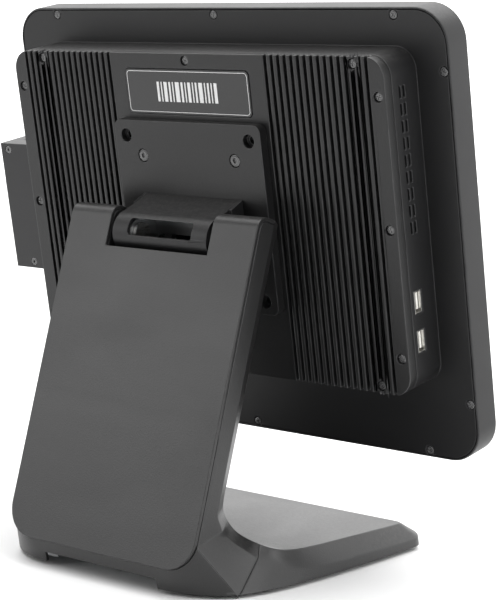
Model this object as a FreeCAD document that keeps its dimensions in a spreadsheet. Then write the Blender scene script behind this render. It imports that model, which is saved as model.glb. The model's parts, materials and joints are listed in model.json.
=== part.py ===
"""Counter-top touch terminal: display head with a finned rear box on a leaning column stand.

Frame: millimetres, +Z up, +X to the user's right, the screen faces -Y and the rear box +Y.
The origin is on the counter, at the centre of the stand's footprint.

Head pieces are drawn in the head's own frame (X across, Y rearwards from the back cover's
outer face, Z up the screen) and share one placement, which turns about the tilt axis.
Column pieces are drawn in the column's frame (Y out of the rear panel, Z up along it).
"""

import FreeCAD, Part
import math
import os
import Sketcher

Vector = FreeCAD.Vector

# name, value in millimetres or degrees, what it is
SIZES = [
    # attitude of the two sub-assemblies
    ("head_tilt", 9.5, "lean of the display from vertical, screen up"),
    ("column_lean", 17.5, "lean of the column from vertical"),
    ("axis_y", 25.4, "tilt axis, behind the footprint centre"),
    ("axis_z", 202.0, "tilt axis above the counter"),
    ("axis_rear", 59.3, "tilt axis behind the back cover"),
    ("axis_drop", 6.3, "tilt axis below the plate centre"),
    # display
    ("display_half", 173.0, "half the width of the display"),
    ("display_top", 124.2, "top edge above the plate centre"),
    ("display_low", 151.5, "bottom edge below the plate centre"),
    ("rim_depth", 19.5, "front to back of the display frame"),
    ("rim_radius", 22.0, "corner radius of the display"),
    ("rim_wall", 3.0, "side wall of the display frame"),
    ("rim_lip", 1.5, "lip round the back cover"),
    ("face_depth", 4.6, "front wall of the display frame with the glass seat"),
    ("glass_margin", 5.0, "frame visible round the glass"),
    ("glass_thick", 3.0, "touch glass"),
    ("gasket_thick", 0.5, "foam tape under the glass"),
    ("view_margin", 17.5, "frame edge to the open window"),
    ("panel_half", 163.2, "half the width of the display panel"),
    ("panel_up", 126.7, "half the height of the display panel"),
    ("panel_thick", 9.0, "display panel"),
    ("pan_thick", 1.2, "steel pan behind the panel"),
    ("seat_gap", 0.15, "clearance of a seated piece"),
    # back cover and rear box
    ("cover_wall", 2.5, "wall of the back cover"),
    ("box_half", 149.5, "half the width of the rear box"),
    ("box_up", 101.4, "half the height of the rear box"),
    ("box_depth", 31.75, "rear box, back cover to fin tips"),
    ("box_radius", 13.0, "corner radius of the rear box"),
    ("sink_thick", 7.0, "heat sink casting, fins included"),
    ("fin_depth", 3.5, "depth of the grooves between the fins"),
    ("fin_groove", 2.1, "width of a groove"),
    ("fin_pitch", 4.93, "pitch of the grooves"),
    ("fin_start", 63.7, "first groove from the middle"),
    ("cover_screw_inset", 4.5, "cover screws from the display edge"),
    ("screw_radius", 1.5, "thread radius of the small screws"),
    ("head_radius", 2.6, "head radius of the small screws"),
    ("screw_slack", 0.05, "round the shank of a screw"),
    # mounting plate
    ("plate_half", 59.5, "half the width of the mounting plate"),
    ("plate_top", 60.0, "top edge of the mounting plate"),
    ("plate_low", 58.5, "bottom edge of the mounting plate"),
    ("plate_thick", 6.3, "mounting plate"),
    ("plate_radius", 5.0, "corner radius of the mounting plate"),
    ("bolt_inner", 37.5, "half of the 75 mm bolt square"),
    ("bolt_outer", 50.0, "half of the 100 mm bolt square"),
    ("bolt_radius", 2.0, "M4 thread"),
    ("bolt_head", 3.8, "M4 cap head radius"),
    # label
    ("label_half", 50.0, "half the width of the label plate"),
    ("label_low", 63.3, "bottom edge of the label plate"),
    ("label_high", 91.3, "top edge of the label plate"),
    ("label_thick", 1.0, "label plate"),
    # electronics
    ("board_half", 100.0, "half the width of the main board"),
    ("board_up", 75.0, "half the height of the main board"),
    ("board_seat", 5.5, "front face of the main board"),
    ("board_thick", 1.6, "main board"),
    ("usb_high", -46.3, "upper side socket"),
    ("usb_low", -70.3, "lower side socket"),
    ("usb_centre", 17.2, "side sockets behind the back cover"),
    ("usb_half_long", 6.75, "half the long side of a side socket"),
    ("usb_half_short", 3.5, "half the short side of a side socket"),
    ("usb_deep", 14.0, "depth of a side socket"),
    ("vent_pitch", 10.0, "pitch of the side vents"),
    ("vent_long", 7.3, "length of a side vent"),
    ("vent_wide", 1.6, "width of a side vent"),
    ("vent_first", 78.1, "middle of the top vent"),
    ("port_rear", 15.0, "underside sockets behind the back cover"),
    # power button
    ("button_across", -118.0, "power button from the middle"),
    ("button_radius", 5.0, "power button"),
    ("button_gap", 0.35, "round the power button"),
    # card reader
    ("reader_gap", 0.2, "between the display and the card reader"),
    ("reader_wide", 36.0, "width of the card reader"),
    ("reader_top", 30.0, "top of the card reader"),
    ("reader_low", 59.0, "bottom of the card reader"),
    ("reader_back", 12.5, "rear block of the card reader"),
    ("reader_deep", 32.0, "card reader, back to front"),
    ("slot_from_edge", 10.6, "card slot from the reader's outer face"),
    ("slot_wide", 1.6, "width of the card slot"),
    ("reader_wall", 1.8, "wall of the card reader"),
    # arm and hinge
    ("barrel_radius", 14.0, "hinge barrel"),
    ("barrel_half", 38.5, "half the length of the barrel"),
    ("arm_half", 40.5, "half the width of the arm"),
    ("arm_wall", 2.2, "wall of the arm cover"),
    ("pin_radius", 4.0, "hinge pins"),
    ("pin_slack", 0.05, "running clearance of the pins"),
    ("knuckle_in", 28.0, "inner end of a knuckle"),
    ("knuckle_out", 38.0, "outer end of a knuckle"),
    ("window_half", 26.0, "half the length of the cable window"),
    # column
    ("panel_top_y", 35.8, "top seam of the rear panel, behind the centre"),
    ("panel_top_z", 215.7, "top seam of the rear panel above the counter"),
    ("column_half", 76.0, "half the width of the column"),
    ("column_deep", 28.0, "thickness of the column"),
    ("column_long", 208.0, "length of the rear panel"),
    ("column_crown", 5.0, "crown of the column above the top seam"),
    ("crown_radius", 8.0, "rounding over the crown"),
    ("panel_sheet", 2.5, "rear panel"),
    ("panel_corner", 20.0, "bottom corners of the rear panel"),
    ("notch_half", 41.6, "half the width of the hinge notch"),
    ("notch_deep", 22.0, "hinge notch in the rear panel"),
    ("well_deep", 28.0, "hinge notch in the column shell"),
    ("side_face", 15.0, "flat side of the column"),
    ("side_bevel", 8.0, "sideways run of the column's inner bevel"),
    # base
    ("front_y", -93.0, "front edge of the base"),
    ("rear_y", 92.5, "rear edge of the base at the counter"),
    ("half_width", 108.0, "half the width of the base"),
    ("shell_low", 2.2, "shells above the counter"),
    ("front_rise", 9.5, "upright part of the front edge"),
    ("bevel_run", 10.0, "front bevel, front to back"),
    ("bevel_rise", 6.5, "front bevel, height"),
    ("knee_z", 24.5, "top of the base where it meets the column"),
    ("knee_radius", 34.0, "rounding between base and column"),
    ("flare_low", 5.0, "where the flared side starts"),
    ("flare_high", 36.0, "where the flared side meets the column"),
    ("front_corner", 12.0, "front corners of the base"),
    ("rear_corner", 58.0, "rear corners of the base"),
    ("foot_draft", 20.0, "outward draft of the rear foot"),
    ("shell_wall", 2.5, "wall of the stand shells"),
    ("seam_y", 58.0, "seam between base cover and column shell"),
    ("seam_gap", 0.2, "open seam between the stand shells"),
    ("arch_half", 45.0, "half the width of the cable arch"),
    ("arch_high", 8.6, "top of the cable arch"),
    ("ballast_low", 2.5, "underside of the ballast plate"),
    ("ballast_thick", 4.0, "ballast plate"),
    ("spine_half", 45.0, "half the width of the steel spine"),
    ("spine_thick", 3.0, "steel spine"),
    ("spine_deep", 18.5, "rear face of the spine inside the column"),
    ("ear_inner", 46.0, "inner face of a hinge ear"),
    ("ear_thick", 3.0, "hinge ear"),
]


class Size:
    """A size that carries its number and its spreadsheet formula together."""

    def __init__(self, value, formula=None):
        self.value = float(value)
        self.formula = formula or f"({float(value)!r})"

    def _with(self, other, sign, result):
        return Size(result, f"({self.formula} {sign} {other.formula})")

    def __add__(self, other):
        other = as_size(other)
        return self._with(other, "+", self.value + other.value)

    def __sub__(self, other):
        other = as_size(other)
        return self._with(other, "-", self.value - other.value)

    def __mul__(self, other):
        other = as_size(other)
        return self._with(other, "*", self.value * other.value)

    def __truediv__(self, other):
        other = as_size(other)
        return self._with(other, "/", self.value / other.value)

    def __radd__(self, other):
        return as_size(other) + self

    def __rsub__(self, other):
        return as_size(other) - self

    def __rmul__(self, other):
        return as_size(other) * self

    def __neg__(self):
        return Size(-self.value, f"(-1 * {self.formula})")


def as_size(number):
    return number if isinstance(number, Size) else Size(number)


def sine(angle):
    return Size(math.sin(math.radians(angle.value)), f"sin({angle.formula})")


def cosine(angle):
    return Size(math.cos(math.radians(angle.value)), f"cos({angle.formula})")


def tangent(angle):
    return Size(math.tan(math.radians(angle.value)), f"tan({angle.formula})")


class Sheet:
    """The spreadsheet, with each size as an attribute."""

    def __init__(self, doc):
        self.cells = doc.addObject("Spreadsheet::Sheet", "Sizes")
        for row, (name, value, note) in enumerate(SIZES, start=1):
            self.cells.set(f"A{row}", name)
            self.cells.set(f"B{row}", str(value))
            self.cells.set(f"C{row}", note)
            self.cells.setAlias(f"B{row}", name)
            setattr(self, name, Size(value, f"Sizes.{name}"))
        doc.recompute()


doc = FreeCAD.newDocument("TouchTerminal")
size = Sheet(doc)
PLANES = {"X": "YZ_Plane", "Y": "XZ_Plane", "Z": "XY_Plane"}
exported = []


# --------------------------------------------------------------------------- drawing tools
def bind(target, prop, amount):
    """Tie a property to its formula, or set it when it is a bare number."""
    amount = as_size(amount)
    if "Sizes." in amount.formula:
        target.setExpression(prop, amount.formula)
    else:
        target.setExpression(prop, f"{amount.value!r}")


def polygon(*corners):
    return ("polygon", corners)


def rectangle(a_low, a_high, b_low, b_high):
    return polygon((a_low, b_low), (a_high, b_low), (a_high, b_high), (a_low, b_high))


def rounded(a_low, a_high, b_low, b_high, radius):
    return ("rounded", (a_low, a_high, b_low, b_high, radius))


def circle(a, b, radius):
    return ("circle", (a, b, radius))


class Drawing:
    """Closed outlines in one sketch, every coordinate tied to the spreadsheet."""

    def __init__(self, sketch):
        self.sketch = sketch

    def fix(self, kind, *where, amount):
        """Add one dimension and tie it to its formula; zero lies on the sketch axis."""
        amount = as_size(amount)
        if kind != "Radius" and amount.value == 0:
            axis = -2 if kind == "DistanceX" else -1
            self.sketch.addConstraint(Sketcher.Constraint("PointOnObject", where[2], where[3], axis))
            return
        index = self.sketch.addConstraint(Sketcher.Constraint(kind, *where, amount.value))
        if "Sizes." in amount.formula:
            self.sketch.setExpression(f"Constraints[{index}]", amount.formula)

    def place_point(self, geometry, end, a, b):
        self.fix("DistanceX", -1, 1, geometry, end, amount=a)
        self.fix("DistanceY", -1, 1, geometry, end, amount=b)

    def polygon(self, corners):
        points = [Vector(as_size(a).value, as_size(b).value, 0) for a, b in corners]
        first = self.sketch.GeometryCount
        count = len(points)
        for i in range(count):
            self.sketch.addGeometry(Part.LineSegment(points[i], points[(i + 1) % count]), False)
        for i, (a, b) in enumerate(corners):
            following = first + (i + 1) % count
            self.sketch.addConstraint(Sketcher.Constraint("Coincident", first + i, 2, following, 1))
            self.place_point(first + i, 1, a, b)

    def circle(self, a, b, radius):
        centre = Vector(as_size(a).value, as_size(b).value, 0)
        index = self.sketch.GeometryCount
        self.sketch.addGeometry(Part.Circle(centre, Vector(0, 0, 1), as_size(radius).value), False)
        self.place_point(index, 3, a, b)
        self.fix("Radius", index, amount=radius)

    def rounded(self, a_low, a_high, b_low, b_high, radius):
        """Rectangle with one corner radius, or a pair: high side, low side."""
        high, low = radius if isinstance(radius, tuple) else (radius, radius)
        radii = [as_size(high), as_size(high), as_size(low), as_size(low)]
        centres = [
            (a_high - radii[0], b_high - radii[0]),
            (a_low + radii[1], b_high - radii[1]),
            (a_low + radii[2], b_low + radii[2]),
            (a_high - radii[3], b_low + radii[3]),
        ]
        first = self.sketch.GeometryCount
        for quarter, (a, b) in enumerate(centres):
            ring = Part.Circle(Vector(a.value, b.value, 0), Vector(0, 0, 1), radii[quarter].value)
            start = quarter * math.pi / 2
            self.sketch.addGeometry(Part.ArcOfCircle(ring, start, start + math.pi / 2), False)
        for quarter in range(4):
            arc = self.sketch.Geometry[first + quarter]
            following = self.sketch.Geometry[first + (quarter + 1) % 4]
            self.sketch.addGeometry(Part.LineSegment(arc.EndPoint, following.StartPoint), False)
        for quarter, (a, b) in enumerate(centres):
            arc = first + quarter
            line = first + 4 + quarter
            self.place_point(arc, 3, a, b)
            self.fix("Radius", arc, amount=radii[quarter])
            self.sketch.addConstraint(Sketcher.Constraint("Coincident", arc, 2, line, 1))
            self.sketch.addConstraint(
                Sketcher.Constraint("Coincident", line, 2, first + (quarter + 1) % 4, 1)
            )
            level, upright = ("Horizontal", "Vertical") if quarter % 2 == 0 else ("Vertical", "Horizontal")
            self.sketch.addConstraint(Sketcher.Constraint(level, arc, 3, arc, 1))
            self.sketch.addConstraint(Sketcher.Constraint(upright, arc, 3, arc, 2))

    def add(self, outlines):
        for kind, data in outlines:
            getattr(self, kind)(*data) if kind != "polygon" else self.polygon(data)


class Piece:
    """One PartDesign body, built up from prisms along its own axes."""

    def __init__(self, label):
        self.body = doc.addObject("PartDesign::Body", "Body_" + label)
        self.body.Label = label
        self.body.AllowCompound = True
        self.steps = 0

    def _sketch(self, axis, outlines, level):
        self.steps += 1
        sketch = self.body.newObject("Sketcher::SketchObject", f"{self.body.Name}_Sketch{self.steps}")
        plane = next(p for p in self.body.Origin.OriginFeatures if p.Role == PLANES[axis])
        sketch.AttachmentSupport = [(plane, "")]
        sketch.MapMode = "FlatFace"
        bind(sketch, "AttachmentOffset.Base.z", -as_size(level) if axis == "Y" else level)
        Drawing(sketch).add(outlines)
        return sketch

    def prism(self, axis, outlines, low, high, draft=0):
        """Add material between two levels of an axis."""
        level = high if axis == "Y" else low
        sketch = self._sketch(axis, outlines, level)
        pad = self.body.newObject("PartDesign::Pad", f"{self.body.Name}_Pad{self.steps}")
        pad.Profile = sketch
        bind(pad, "Length", as_size(high) - low)
        if as_size(draft).value:
            bind(pad, "TaperAngle", draft)
        sketch.Visibility = False
        return self

    def hollow(self, axis, outlines, low, high):
        """Cut material away between two levels of an axis."""
        level = low if axis == "Y" else high
        sketch = self._sketch(axis, outlines, level)
        pocket = self.body.newObject("PartDesign::Pocket", f"{self.body.Name}_Pocket{self.steps}")
        pocket.Profile = sketch
        bind(pocket, "Length", as_size(high) - low)
        return self

    def round_off(self, radius, direction, keep):
        """Fillet the straight edges along a direction whose middle passes the test."""
        self.body.recompute(True)
        base = self.body.Tip
        names = []
        for index, edge in enumerate(base.Shape.Edges, start=1):
            if not isinstance(edge.Curve, Part.Line):
                continue
            along = edge.Curve.Direction
            if abs(abs(along.dot(direction)) - 1) < 1e-6 and keep(edge.CenterOfMass):
                names.append(f"Edge{index}")
        self.steps += 1
        fillet = self.body.newObject("PartDesign::Fillet", f"{self.body.Name}_Fillet{self.steps}")
        fillet.Base = (base, names)
        bind(fillet, "Radius", radius)
        return self

    def on_head(self):
        """Place the piece on the display head, tilted about the hinge axis."""
        rear = size.axis_rear
        drop = size.axis_drop
        tilt = size.head_tilt
        bind(self.body, "Placement.Base.y", size.axis_y - rear * cosine(tilt) + drop * sine(tilt))
        bind(self.body, "Placement.Base.z", size.axis_z + rear * sine(tilt) + drop * cosine(tilt))
        self.body.Placement.Rotation = FreeCAD.Rotation(Vector(1, 0, 0), -tilt.value)
        bind(self.body, "Placement.Rotation.Angle", -tilt)
        return self.keep()

    def on_column(self, keep=True):
        """Place the piece on the leaning column, from the top seam of its rear panel."""
        bind(self.body, "Placement.Base.y", size.panel_top_y)
        bind(self.body, "Placement.Base.z", size.panel_top_z)
        self.body.Placement.Rotation = FreeCAD.Rotation(Vector(1, 0, 0), size.column_lean.value)
        bind(self.body, "Placement.Rotation.Angle", size.column_lean)
        return self.keep() if keep else self

    def keep(self):
        exported.append(self.body)
        return self


def mirrored_pairs(values):
    return [sign * value for value in values for sign in (1, -1)]


def grid(across, up):
    return [(a, b) for a in across for b in up]


def circles(places, radius):
    return [circle(a, b, radius) for a, b in places]


def screws(label, axis, places, tip, under_head, head_top, shank, head, socket_radius, socket_deep):
    """A group of like screws whose heads face the positive end of the axis."""
    piece = Piece(label)
    piece.prism(axis, circles(places, shank), tip, under_head)
    piece.prism(axis, circles(places, head), under_head, head_top)
    piece.hollow(axis, circles(places, socket_radius), head_top - socket_deep, head_top)
    return piece


# --------------------------------------------------------------------------- display head
half = size.display_half
top = size.display_top
low = size.display_low
rim = size.rim_depth
front = -rim
face_back = front + size.face_depth
sink_seat = size.box_depth - size.sink_thick
plate_face = size.box_depth + size.plate_thick
screw_hole = size.screw_radius + size.screw_slack
view_middle = (top - low) / 2
inset = size.cover_screw_inset

COVER_SCREWS = [
    (136.5, top - inset), (-136.5, top - inset), (0, top - inset),
    (half - inset, 87.0), (-(half - inset), 87.0),
    (half - inset, -113.6), (-(half - inset), -113.6),
    (136.0, inset - low), (-136.0, inset - low), (0, inset - low),
]
SINK_BOSSES = [(123.2, size.box_up - 4.6), (123.2, 4.6 - size.box_up),
               (-127.4, size.box_up - 4.6), (-127.4, 4.6 - size.box_up)]
SINK_SCREWS = SINK_BOSSES + [
    (0, size.box_up - 4.6), (0, 4.6 - size.box_up),
    (size.box_half - 5.5, 78.0), (size.box_half - 5.5, 0), (size.box_half - 5.5, -78.0),
    (5.5 - size.box_half, 78.0), (5.5 - size.box_half, 0), (5.5 - size.box_half, -78.0),
]
PLATE_SCREWS = grid(mirrored_pairs([size.bolt_inner]), mirrored_pairs([size.bolt_inner]))
FIXING_HEIGHTS = (15.0, -44.0)
OUTER_BOLTS = grid(mirrored_pairs([size.bolt_outer]), mirrored_pairs([size.bolt_outer]))


def display_outline(inset_by, radius_less=None):
    less = inset_by if radius_less is None else radius_less
    return rounded(inset_by - half, half - inset_by, inset_by - low, top - inset_by,
                   size.rim_radius - less)


def box_outline(inset_by):
    return rounded(inset_by - size.box_half, size.box_half - inset_by,
                   inset_by - size.box_up, size.box_up - inset_by, size.box_radius - inset_by)


def window_outline():
    edge = size.view_margin
    return rectangle(edge - half, half - edge, edge - low, top - edge)


def front_frame():
    """Deep plastic frame: glass seat in front, screw bosses and a lip for the back cover."""
    piece = Piece("front_frame")
    piece.prism("Y", [display_outline(as_size(0))], front, 0)
    piece.hollow("Y", [display_outline(size.rim_wall)], face_back, 0)
    piece.hollow("Y", [display_outline(size.rim_lip)], -size.cover_wall, 0)
    piece.hollow("Y", [display_outline(size.glass_margin)], front, front + size.glass_thick + size.gasket_thick)
    piece.hollow("Y", [window_outline()], front, face_back)
    piece.prism("Y", circles(COVER_SCREWS, 3.4), face_back, -size.cover_wall)
    piece.hollow("Y", circles(COVER_SCREWS, screw_hole), -10.5, -size.cover_wall)
    piece.hollow("Z", [circle(140.0, front + 2.2, 1.3)], -low, size.rim_wall + 0.5 - low)
    fixings = [circle(-size.reader_back / 2, v, screw_hole) for v in FIXING_HEIGHTS]
    piece.hollow("X", fixings, half - size.rim_wall, half)
    piece.on_head()


def touch_glass():
    piece = Piece("touch_glass")
    piece.prism("Y", [display_outline(size.glass_margin + size.seat_gap)], front, front + size.glass_thick)
    piece.on_head()


def glass_gasket():
    """Foam tape ring between the glass and the frame."""
    piece = Piece("glass_gasket")
    level = front + size.glass_thick
    piece.prism("Y", [display_outline(size.glass_margin + 1.5)], level, level + size.gasket_thick)
    piece.hollow("Y", [window_outline()], level, level + size.gasket_thick)
    piece.on_head()


def lcd_panel():
    """Panel module with its metal edge frame, behind the window."""
    piece = Piece("lcd_panel")
    wide = size.panel_half
    tall = size.panel_up
    back = face_back + size.panel_thick
    piece.prism("Y", [rectangle(-wide, wide, view_middle - tall, view_middle + tall)], face_back, back)
    piece.hollow("Y", [rectangle(8.0 - wide, wide - 8.0, view_middle - tall + 8.0, view_middle + tall - 8.0)],
                 face_back, face_back + 0.6)
    piece.on_head()


def panel_pan():
    """Steel pan behind the panel that carries the boards."""
    piece = Piece("panel_pan")
    level = face_back + size.panel_thick
    wide = size.panel_half - 0.4
    tall = size.panel_up - 0.4
    piece.prism("Y", [rectangle(-wide, wide, view_middle - tall, view_middle + tall)],
                level, level + size.pan_thick)
    slots = [rounded(a - 18.0, a + 18.0, as_size(88.0), as_size(96.0), 3.9) for a in (as_size(-60.0), as_size(60.0))]
    piece.hollow("Y", slots, level, level + size.pan_thick)
    piece.on_head()


def rear_cover():
    """Back cover with the walls of the rear box, vents, socket openings and screw bosses."""
    piece = Piece("rear_cover")
    piece.prism("Y", [display_outline(size.rim_lip + size.seat_gap)], -size.cover_wall, 0)
    piece.prism("Y", [box_outline(as_size(0))], 0, sink_seat)
    piece.hollow("Y", [box_outline(size.cover_wall)], -size.cover_wall, sink_seat)
    boss_foot = size.usb_centre + size.usb_half_short + 0.3
    piece.prism("Y", circles(SINK_SCREWS, 3.3), boss_foot, sink_seat)
    piece.hollow("Y", circles(SINK_SCREWS, screw_hole), boss_foot, sink_seat)
    piece.hollow("Y", circles(COVER_SCREWS, screw_hole), -size.cover_wall, 0)
    piece.hollow("Y", circles(COVER_SCREWS, 3.0), -1.3, 0)
    wall_in = size.cover_wall - size.box_half
    vents = []
    for column in (13.5, 17.3):
        for row in range(9):
            middle = size.vent_first - size.vent_pitch * row
            half_long = size.vent_long / 2
            half_wide = size.vent_wide / 2
            vents.append(rectangle(column - half_wide, column + half_wide, middle - half_long, middle + half_long))
    piece.hollow("X", vents, -size.box_half, wall_in)
    sockets = [
        rectangle(size.usb_centre - size.usb_half_short - 0.25, size.usb_centre + size.usb_half_short + 0.25,
                  v - size.usb_half_long - 0.25, v + size.usb_half_long + 0.25)
        for v in (size.usb_high, size.usb_low)
    ]
    piece.hollow("X", sockets, -size.box_half, wall_in)
    opening = rectangle(-PORT_PLATE_HALF + 3.0, PORT_PLATE_HALF - 3.0, size.port_rear - 7.9, size.port_rear + 7.9)
    piece.hollow("Z", [opening], -size.box_up, size.cover_wall - size.box_up)
    button = circle(size.button_across, size.port_rear, size.button_radius + size.button_gap)
    piece.hollow("Z", [button], -size.box_up, size.cover_wall - size.box_up)
    piece.on_head()


def heatsink_cover():
    """Finned aluminium lid of the rear box."""
    piece = Piece("heatsink_cover")
    groove_floor = size.box_depth - size.fin_depth
    piece.prism("Y", [box_outline(as_size(0))], sink_seat, size.box_depth)
    grooves = []
    reach = size.box_up + 1
    for sign in (1, -1):
        for index in range(16):
            middle = (size.fin_start + size.fin_pitch * index) * sign
            grooves.append(rectangle(middle - size.fin_groove / 2, middle + size.fin_groove / 2, -reach, reach))
    piece.hollow("Y", grooves, groove_floor, size.box_depth)
    piece.prism("Y", circles(SINK_BOSSES, 4.4), groove_floor - 0.5, size.box_depth - 0.3)
    piece.hollow("Y", circles(SINK_SCREWS, 3.0), size.box_depth - 3.0, size.box_depth)
    piece.hollow("Y", circles(SINK_SCREWS, 1.7), sink_seat, size.box_depth)
    piece.hollow("Y", circles(PLATE_SCREWS + OUTER_BOLTS, size.bolt_radius), sink_seat, size.box_depth)
    border = size.seat_gap * 2
    recess = rounded(-size.label_half - border, size.label_half + border,
                     size.label_low - border, size.label_high + border, 3.4)
    piece.hollow("Y", [recess], size.box_depth - 0.8, size.box_depth)
    cable_hole = rounded(as_size(-18.0), as_size(18.0), as_size(-34.0), as_size(-22.0), 5.9)
    piece.hollow("Y", [cable_hole], sink_seat, size.box_depth)
    piece.on_head()


def label_plate():
    piece = Piece("label_plate")
    floor = size.box_depth - 0.8
    plate = rounded(-size.label_half, size.label_half, size.label_low, size.label_high, 3.0)
    piece.prism("Y", [plate], floor, floor + size.label_thick)
    piece.on_head()


def cover_screws():
    screws("rear_cover_screws", "Y", COVER_SCREWS, as_size(-10.0), as_size(-1.3), as_size(-0.15),
           size.screw_radius, size.head_radius, 1.1, 0.8).on_head()


def sink_screws():
    under = size.box_depth - 3.0
    tip = size.usb_centre + size.usb_half_short + 0.6
    screws("heatsink_screws", "Y", SINK_SCREWS, tip, under, under + 1.7,
           size.screw_radius, size.head_radius, 1.2, 1.0).on_head()


# --------------------------------------------------------------------------- electronics
PORT_PLATE_HALF = 94.0
PORT_POWER = 82.0
PORT_VIDEO = 56.0
PORT_SERIAL = 22.0
PORT_LAN = -20.0
PORT_USB = -44.0
STANDOFFS = [(94.0, 69.0), (-94.0, 69.0), (94.0, -69.0), (-94.0, -69.0), (0.0, 69.0), (0.0, -69.0)]
pan_back = face_back + size.panel_thick + size.pan_thick
board_back = size.board_seat + size.board_thick
port_face = -size.box_up


def main_board():
    piece = Piece("main_board")
    wide = size.board_half
    piece.prism("Y", [rectangle(-wide, wide, -size.board_up, size.board_up)], size.board_seat, board_back)
    piece.prism("Y", [rectangle(-wide + 22, wide - 22, -size.board_up - 18, -size.board_up)],
                size.board_seat, board_back)
    piece.hollow("Y", circles(STANDOFFS, screw_hole), size.board_seat, board_back)
    piece.on_head()


def board_fixings():
    posts = Piece("board_standoffs")
    posts.prism("Y", circles(STANDOFFS, 3.0), pan_back, size.board_seat)
    posts.hollow("Y", circles(STANDOFFS, screw_hole), pan_back, size.board_seat)
    posts.on_head()
    screws("board_screws", "Y", STANDOFFS, as_size(2.0), board_back, board_back + 1.8,
           size.screw_radius, size.head_radius, 1.1, 1.0).on_head()


def chips():
    """Processor, its heat block up to the lid, memory, coin cell and drive."""
    piece = Piece("processor")
    piece.prism("Y", [rectangle(-15.5, 15.5, 4.5, 35.5)], board_back, board_back + 2.0)
    piece.on_head()
    piece = Piece("heat_block")
    piece.prism("Y", [rectangle(-30.0, 30.0, -10.0, 50.0)], board_back + 2.0, sink_seat)
    piece.on_head()
    piece = Piece("memory_module")
    piece.prism("Y", [rectangle(as_size(-90.0), as_size(-60.0), as_size(-30.0), as_size(37.6))],
                board_back + 3.0, board_back + 4.2)
    piece.prism("Y", [rectangle(as_size(-92.0), as_size(-84.0), as_size(-32.0), as_size(39.6))],
                board_back, board_back + 3.0)
    piece.on_head()
    piece = Piece("storage_drive")
    piece.prism("Y", [rounded(as_size(104.0), as_size(144.0), as_size(-45.0), as_size(55.0), 2.0)],
                as_size(2.0), as_size(9.0))
    piece.on_head()
    piece = Piece("coin_cell")
    piece.prism("Y", [circle(62.0, 48.0, 10.0)], board_back, board_back + 3.2)
    piece.on_head()


def speakers():
    """Two small oval speakers in the corners of the back cover."""
    piece = Piece("speakers")
    places = [rounded(as_size(a - 20.0), as_size(a + 20.0), as_size(60.0), as_size(80.0), 9.5)
              for a in (-122.0, 122.0)]
    piece.prism("Y", places, as_size(-1.5), as_size(7.5))
    piece.on_head()


def side_sockets():
    """Two receptacles in the side wall: metal shells, plastic tongues and their board."""
    outer = -size.box_half + 0.4
    inner = outer + size.usb_deep
    heights = (size.usb_high, size.usb_low)
    shells = Piece("usb_shells")
    tongues = Piece("usb_tongues")
    near = size.usb_centre - size.usb_half_short
    far = size.usb_centre + size.usb_half_short
    wall = 0.5
    shells.prism("X", [rectangle(near, far, v - size.usb_half_long, v + size.usb_half_long) for v in heights],
                 outer, inner)
    shells.hollow("X", [rectangle(near + wall, far - wall, v - size.usb_half_long + wall,
                                  v + size.usb_half_long - wall) for v in heights], outer, inner - wall)
    tongues.prism("X", [rectangle(near + 1.0, near + 2.8, v - 5.0, v + 5.0) for v in heights],
                  outer + 2.0, inner - wall)
    shells.on_head()
    tongues.on_head()
    board = Piece("usb_board")
    board.prism("Y", [rectangle(-size.box_half + 4.0, -size.box_half + 24.0, -82.0, -34.0)],
                near - size.board_thick, near)
    board.on_head()


def port_plate():
    """Steel shield inside the underside opening, with one cut-out per socket."""
    piece = Piece("port_plate")
    seat = size.cover_wall - size.box_up
    rear = size.port_rear
    piece.prism("Z", [rectangle(-PORT_PLATE_HALF, PORT_PLATE_HALF, rear - 9.6, rear + 9.4)], seat, seat + 1.0)
    cuts = [
        rectangle(PORT_LAN - 8.2, PORT_LAN + 8.2, rear - 7.0, rear + 7.0),
        rectangle(PORT_USB - 7.4, PORT_USB + 7.4, rear - 7.6, rear + 7.6),
        rectangle(PORT_SERIAL - 15.8, PORT_SERIAL + 15.8, rear - 6.3, rear + 6.3),
        rectangle(PORT_VIDEO - 15.8, PORT_VIDEO + 15.8, rear - 6.3, rear + 6.3),
        circle(PORT_POWER, rear, 6.2),
        rectangle(-4.0, 4.0, rear + 5.0, rear + 20.0),
    ]
    piece.hollow("Z", cuts, seat, seat + 1.0)
    piece.on_head()


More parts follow.
